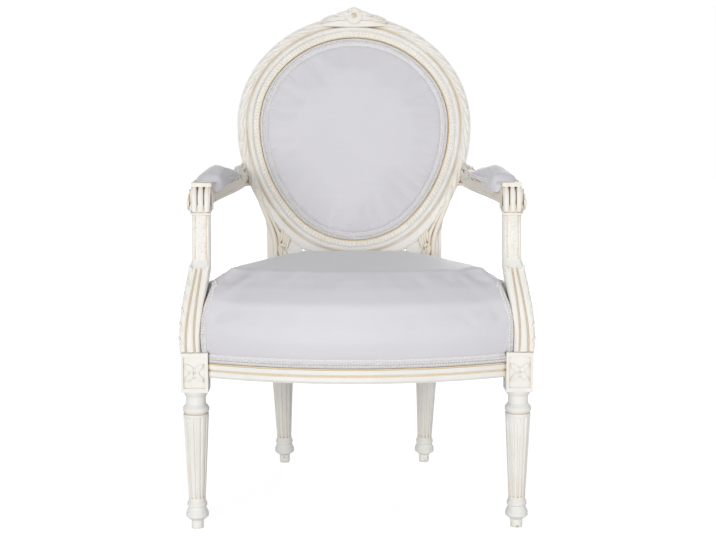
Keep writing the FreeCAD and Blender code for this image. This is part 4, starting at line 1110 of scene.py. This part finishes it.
for x, up, heading, lift, model in (
    (156, 228, -83, 3, console_leaf), (151, 223, -83, 4, console_leaf),
    (146, 218, -81, 4, console_leaf), (141, 213, -78, 3, console_leaf),
    (144, 186, 12, 0, console_tip), (163, 190, -98, 4, console_small),
    (152, 180, -92, 4, console_small),
):
    consoles.append(carved(model, on_back(x, up, 7.4, heading, lift)))
for x, up, heading, model in ((239, 322, 96, console_small), (234, 338, 86, console_small),
                              (240, 346, 100, console_small), (246, 330, 112, console_small)):
    consoles.append(carved(model, on_back(x, up, 9.5, heading, 2)))
put_pair("console_carving", consoles, console_paint)


# Arm scrolls: three lobes rolled over the front, a band below and a leaf on each cheek

arm_work = []
lobe_line = []
for turn in (128, 142, 156, 170, 180):
    way = Vector((0, math.cos(math.radians(turn)), math.sin(math.radians(turn))))
    along = Vector((0, way.z, -way.y))
    rows = axes(-along, Vector((-1, 0, 0)), way)
    lobe_line.append((Vector((0, SCROLL_Y, SCROLL_Z)) + way * (SCROLL_RADIUS - 1.5), rows))
for drop in (9, 18, 25):
    lobe_line.append((lobe_line[4][0] - Vector((0, 0, drop)), lobe_line[4][1]))
for offset, wide in ((-11.9, 5.3), (0, 5.6), (11.9, 5.3)):
    stations = []
    for index, (spot, rows) in enumerate(lobe_line):
        grown = (0.7, 0.85, 0.95, 1, 1, 1, 1, 0.85)[index]
        place = arm_plane @ Matrix.Translation(spot + Vector((ARM_X + offset, 0, 0))) @ rows
        stations.append((place, wide * grown, 5.2 * grown))
    arm_work.append(drawn_rod("lobe", HALF_ROUND, stations))
band = block((ARM_X, SCROLL_Y - SCROLL_RADIUS + 3, SCROLL_Z - 29), (38, 10, 4.5), 1.4)
band.data.transform(to_metres @ arm_plane)
arm_work.append(smooth(band, 40))

post_skin = BVHTree.FromObject(nodes["arm_post_right"], bpy.context.evaluated_depsgraph_get())
POST_X = 0.299
POST_TOP = 262
FIELD_TOP = 152


def post_front(height, sideways=0.0):
    """Point of the arm support's front face at a height, and the face's half width."""
    level = (BLOCK_TOP + height) * MM
    inside = post_skin.ray_cast(Vector((POST_X, -1, level)), Vector((0, 1, 0)))[0].y + 0.005
    outer = post_skin.ray_cast(Vector((1, inside, level)), Vector((-1, 0, 0)))[0].x
    inner = post_skin.ray_cast(Vector((0.2, inside, level)), Vector((1, 0, 0)))[0].x
    half = (outer - inner) / 2
    x = (outer + inner) / 2 + sideways * (half - 0.001)
    front = post_skin.ray_cast(Vector((x, -1, level)), Vector((0, 1, 0)))[0].y
    return Vector((x / MM, front / MM - FRONT_LEG_Y, height)), half / MM


def on_post(height, sideways, heading, sink=0.6, lift=0.0):
    """Place on the arm support's front, for a model that points up and turned by the heading."""
    here, _ = post_front(height, sideways)
    above, _ = post_front(min(height + 8, POST_TOP), sideways)
    below, _ = post_front(max(height - 8, 1), sideways)
    along = (above - below).normalized()
    across = Vector((-1, 0, 0))
    out = along.cross(across).normalized()
    across = out.cross(along)
    turned = axes(along, across, out) @ rotated(heading) @ rotated(-lift, "Y")
    return arm_plane @ Matrix.Translation(here - out * sink) @ turned


LOWER_HEIGHTS = (2, 14, 30, 46, 62, 78, 94, 110, 126, 140, 151)
field_leaf = carved_leaf(20, 4.4, 1.9, taper=0.85, vein=0.0)
small_curl = carved_leaf(15, 8, 5, taper=0.8, vein=0.3, curl=0.5)
rib_stations = []
field_stations = ([], [])
for height in LOWER_HEIGHTS:
    share = height / FIELD_TOP
    half = post_front(height)[1] - 1.2
    rib = 7.2 - 4.0 * share
    shift = -0.08 * (1 - share)
    rib_stations.append((on_post(height, shift, 0, 0.2), rib, 4.4 - 0.6 * share))
    for side, stations in zip((-1, 1), field_stations):
        inner = shift * half + side * (rib + 2.2)
        outer = side * (half - 0.2)
        width = abs(outer - inner) / 2
        stations.append((on_post(height, (inner + outer) / 2 / half, 0, 0.2), width, 3.4))
arm_work.append(drawn_rod("rib", HALF_ROUND, rib_stations))
for stations in field_stations:
    arm_work.append(drawn_rod("field", HALF_ROUND, stations))
post_gilding = []
for side in (-1, 1):
    stations = []
    for height, (place, rib, _) in zip(LOWER_HEIGHTS, rib_stations):
        stations.append((place @ Matrix.Translation((0, -side * (rib + 1.0), 0)), 1.2, 1.5))
    post_gilding.append(drawn_rod("gilding", HALF_ROUND, stations))
put_pair("post_gilding", post_gilding, worn_gilt)
post_lines = []
for side in (-1, 1):
    post_lines.append(drawn_rod("line", HALF_ROUND, [
        (on_post(height, side * 0.64, 0, 0.1), 1.0, 1.5) for height in (167, 188, 210, 232, 252)]))
put_pair("post_lines", post_lines, pale_gilt)
for row in range(5):
    arm_work.append(carved(field_leaf, on_post(14 + row * 26, 0.7 - 0.03 * row, -22, -2.6)))
for sideways, heading in ((-0.62, 30), (0.62, -30)):
    arm_work.append(carved(small_curl, on_post(143, sideways, heading, 0.0, 10)))
for sideways, width in ((-0.82, 3.8), (0, 19.6), (0.82, 3.8)):
    strip = block((0, 0, 0), (86, width, 3), 1.0)
    strip.data.transform(to_metres @ on_post(209, sideways, 0, 0.2))
    arm_work.append(smooth(strip, 40))
cheek_leaf = carved_leaf(24, 11, 4.2, taper=0.7, vein=0.35, curl=0.2)
arm_skin = BVHTree.FromObject(nodes["arm_right"], bpy.context.evaluated_depsgraph_get())


def on_arm(side, y, z, heading, lift=0.0, sink=0.8):
    """Place on the outer (1) or inner (-1) side of an arm; heading 0 points ahead, 90 up."""
    x = arm_line(max(0.0, (y - SCROLL_Y) / ARM_RUN)).x + side * 60
    start = arm_plane @ Vector((x, y, z))
    spot, out, _, _ = arm_skin.ray_cast(start * MM, Vector((-side, 0, 0)), 0.1)
    if spot is None:
        return None
    along = Vector((0, -1, 0))
    along = (along - out * along.dot(out)).normalized()
    turned = axes(along, out.cross(along), out) @ rotated(heading * side) @ rotated(-lift, "Y")
    return Matrix.Translation(spot / MM - out * sink) @ turned


for y, z, heading, size in (
    (0, 18, 78, 0.9), (-12, 12, 86, 1.0), (-15, 2, 90, 1.0), (-15, -8, 90, 0.9),
    (4, 8, 96, 0.9), (0, -4, 96, 0.9), (-14, 8, 60, 0.6),
):
    for side, height in ((1, 1.35), (-1, 0.4)):
        place = on_arm(side, SCROLL_Y + y, SCROLL_Z + z, heading)
        if place and (side == 1 or z > -5):
            flat = Matrix.Diagonal((size, size, size * height, 1))
            arm_work.append(carved(cheek_leaf, place @ flat))
long_cheek = carved_leaf(44, 13, 5, taper=0.6, vein=0.35, curl=0.15)
for share, drop, heading in (
    (0.985, 3, 14), (0.985, 12, 2), (0.985, 21, -6), (0.985, 29, -14), (0.9, 8, 4), (0.9, 18, -8),
    (0.81, 5, 6), (0.81, 14, -6), (0.72, 9, -2),
):
    for side in (1, -1):
        spot = arm_line(share if side < 0 else share * 0.96)
        place = on_arm(side, spot.y, spot.z - drop, heading)
        if place:
            reach = Matrix.Translation((-9 if side < 0 else 0, 0, 0))
            arm_work.append(carved(long_cheek, place @ reach))
top_leaf = carved_leaf(64, 17, 10, taper=0.5, vein=0.35)
for sideways, heading, size in (
    (-6.5, 2, (1.1, 1, 1.25)), (0, 0, (0.9, 1, 0.9)), (6.5, -3, (0.7, 1, 0.5)),
):
    spot = arm_line(0.992 if sideways < 0 else 0.965)
    rows = axes((0, -1, 0), (1, 0, 0), (0, 0, 1))
    place = arm_plane @ Matrix.Translation((spot.x + sideways, spot.y, spot.z)) @ rows
    place = place @ rotated(heading) @ rotated(5, "Y")
    arm_work.append(carved(top_leaf, place @ Matrix.Diagonal((*size, 1))))
for side in (1, -1):
    stations = []
    for share in (0.1, 0.2, 0.3, 0.4, 0.5, 0.6, 0.7, 0.8, 0.9, 0.97):
        spot = arm_line(share)
        start = arm_plane @ Vector((spot.x, spot.y, 200))
        below = arm_skin.ray_cast(start * MM, Vector((0, 0, 1)))[0]
        place = on_arm(side, spot.y, below.z / MM - BLOCK_TOP + 5.5, 0, 0, 0.3)
        if place:
            stations.append((place, 3.4, 2.4))
    arm_work.append(drawn_rod("moulding", HALF_ROUND, stations))
put_pair("arm_carving", arm_work, carving_paint)


# Flowers in the sunk panels of the front legs' blocks

block_petal = carved_leaf(21, 11, 2.8, taper=0.75, vein=0.35, curl=0.2)
middle_height = (BLOCK_BOTTOM + BLOCK_TOP) / 2
flowers = []
panels = (
    ((HALF_FRONT, FRONT_LEG_Y - HALF_BLOCK + PANEL_DEPTH, middle_height),
     axes((1, 0, 0), (0, 0, 1), (0, -1, 0))),
    ((HALF_FRONT + HALF_BLOCK - PANEL_DEPTH, FRONT_LEG_Y, middle_height),
     axes((0, 1, 0), (0, 0, 1), (1, 0, 0))),
)
for spot, rows in panels:
    turned = Matrix.Translation(spot) @ rows
    for quarter in range(4):
        spin = rotated(45 + 90 * quarter)
        flowers.append(carved(block_petal, turned @ spin @ Matrix.Translation((1.5, 0, 0.4))))
        bud = rotated(90 * quarter) @ Matrix.Translation((2, 0, 0.2))
        flowers.append(carved(tick_model, turned @ bud))
put_pair("block_flowers", flowers, carving_paint)

# Tacks at the rear ends of the arm pads, on the arm's top and its inner side

tack_head = knob(12, 8, 2.4, 0.5)
pad_end = arm_line((PAD_START + PAD_LENGTH) / ARM_RUN)
tack_places = []
for sideways, lift in ((-11, -2), (0, 1.5), (11, -2)):
    tack_places.append(arm_plane @ Matrix.Translation(pad_end + Vector((sideways, 7, lift))))
for behind, drop in ((-4, 7), (9, 6), (17, 5)):
    tack_places.append(on_arm(-1, pad_end.y + behind, pad_end.z - drop, 0))
tacks = [carved(tack_head, place) for place in tack_places]
put_pair("arm_tacks", tacks, tack.material)

for model in (
    loop_model, ribbon_model, tick_model, petal, long_leaf, short_leaf, console_leaf, console_tip,
    console_small, field_leaf, small_curl, cheek_leaf, long_cheek, top_leaf, block_petal, tack_head,
):
    bpy.data.objects.remove(model)


# Studio: floor, light and camera

start_fresh()
bpy.ops.mesh.primitive_plane_add(size=24, location=(0, 0, 0))
floor = bpy.context.object
floor.name = "floor"
ground = Finish("floor_paper", Roughness=0.9, Specular_IOR_Level=0.1)
ground.paint("Base Color", ground.mixed(
    ground.noise(3), (0.90, 0.90, 0.90, 1), (0.92, 0.92, 0.92, 1)))

# To the camera the paper glows, all the more away from the chair, and so loses its edge

glow = ground.node("ShaderNodeEmission", {}, {"Color": (1, 1, 1, 1), "Strength": 1.25})
seen = ground.node("ShaderNodeLightPath", output="Is Camera Ray")
around = ground.node(
    "ShaderNodeVectorMath", {"operation": "LENGTH"}, {"Vector": ground.place()}, "Value")
far_off = ((around - 0.6) * 1.1).limited()
blend = ground.node("ShaderNodeMixShader", {}, {
    0: seen * (far_off * 0.31 + 0.69), 1: Tone(ground, ground.shader.outputs[0]), 2: glow,
})
ground.tree.links.new(blend.socket, ground.tree.nodes["Material Output"].inputs[0])
floor.data.materials.append(ground.material)

# The room gives a dim light, but looks white to the camera and in reflections

world = bpy.data.worlds.new("studio")
bpy.context.scene.world = world
world.use_nodes = True
tree = world.node_tree
room = tree.nodes["Background"]
room.inputs["Color"].default_value = (1, 1, 1, 1)
room.inputs["Strength"].default_value = 0.36
white = tree.nodes.new("ShaderNodeBackground")
white.inputs["Color"].default_value = (1, 1, 1, 1)
white.inputs["Strength"].default_value = 1.0
rays = tree.nodes.new("ShaderNodeLightPath")
either = tree.nodes.new("ShaderNodeMath")
either.operation = "MAXIMUM"
tree.links.new(rays.outputs["Is Camera Ray"], either.inputs[0])
tree.links.new(rays.outputs["Is Glossy Ray"], either.inputs[1])
choose = tree.nodes.new("ShaderNodeMixShader")
tree.links.new(either.outputs[0], choose.inputs[0])
tree.links.new(room.outputs[0], choose.inputs[1])
tree.links.new(white.outputs[0], choose.inputs[2])
tree.links.new(choose.outputs[0], tree.nodes["World Output"].inputs[0])


def lamp(name, spot, target, width, watts):
    """A square soft lamp turned to its target."""
    light = bpy.data.lights.new(name, "AREA")
    light.size = width
    light.energy = watts
    holder = bpy.data.objects.new(name, light)
    holder.location = spot
    holder.rotation_euler = (Vector(target) - Vector(spot)).to_track_quat("-Z", "Y").to_euler()
    bpy.context.scene.collection.objects.link(holder)


lamp("front_softbox", (-1.9, -6.5, 1.35), (0, 0, 0.5), 3.4, 290)
lamp("side_softbox", (2.6, -1.8, 1.1), (0, 0, 0.5), 1.6, 13)
lamp("rear_softbox", (0.6, 3.2, 1.1), (0, 0, 0.6), 2.0, 50)

# The camera found from the photograph, with its focal length in pixels of a 716 wide picture

lens = bpy.data.cameras.new("photo_camera")
lens.sensor_width = 36
lens.lens = 1378 / 716 * lens.sensor_width
camera = bpy.data.objects.new("photo_camera", lens)
camera.location = (-0.033, -2.7718, 0.783)
yaw, pitch = 0.01365, math.radians(6.7)
forward = Vector((
    math.sin(yaw) * math.cos(pitch), math.cos(yaw) * math.cos(pitch), -math.sin(pitch)))
camera.rotation_euler = forward.to_track_quat("-Z", "Y").to_euler()
bpy.context.scene.collection.objects.link(camera)
bpy.context.scene.camera = camera
bpy.context.scene.view_settings.view_transform = "Standard"
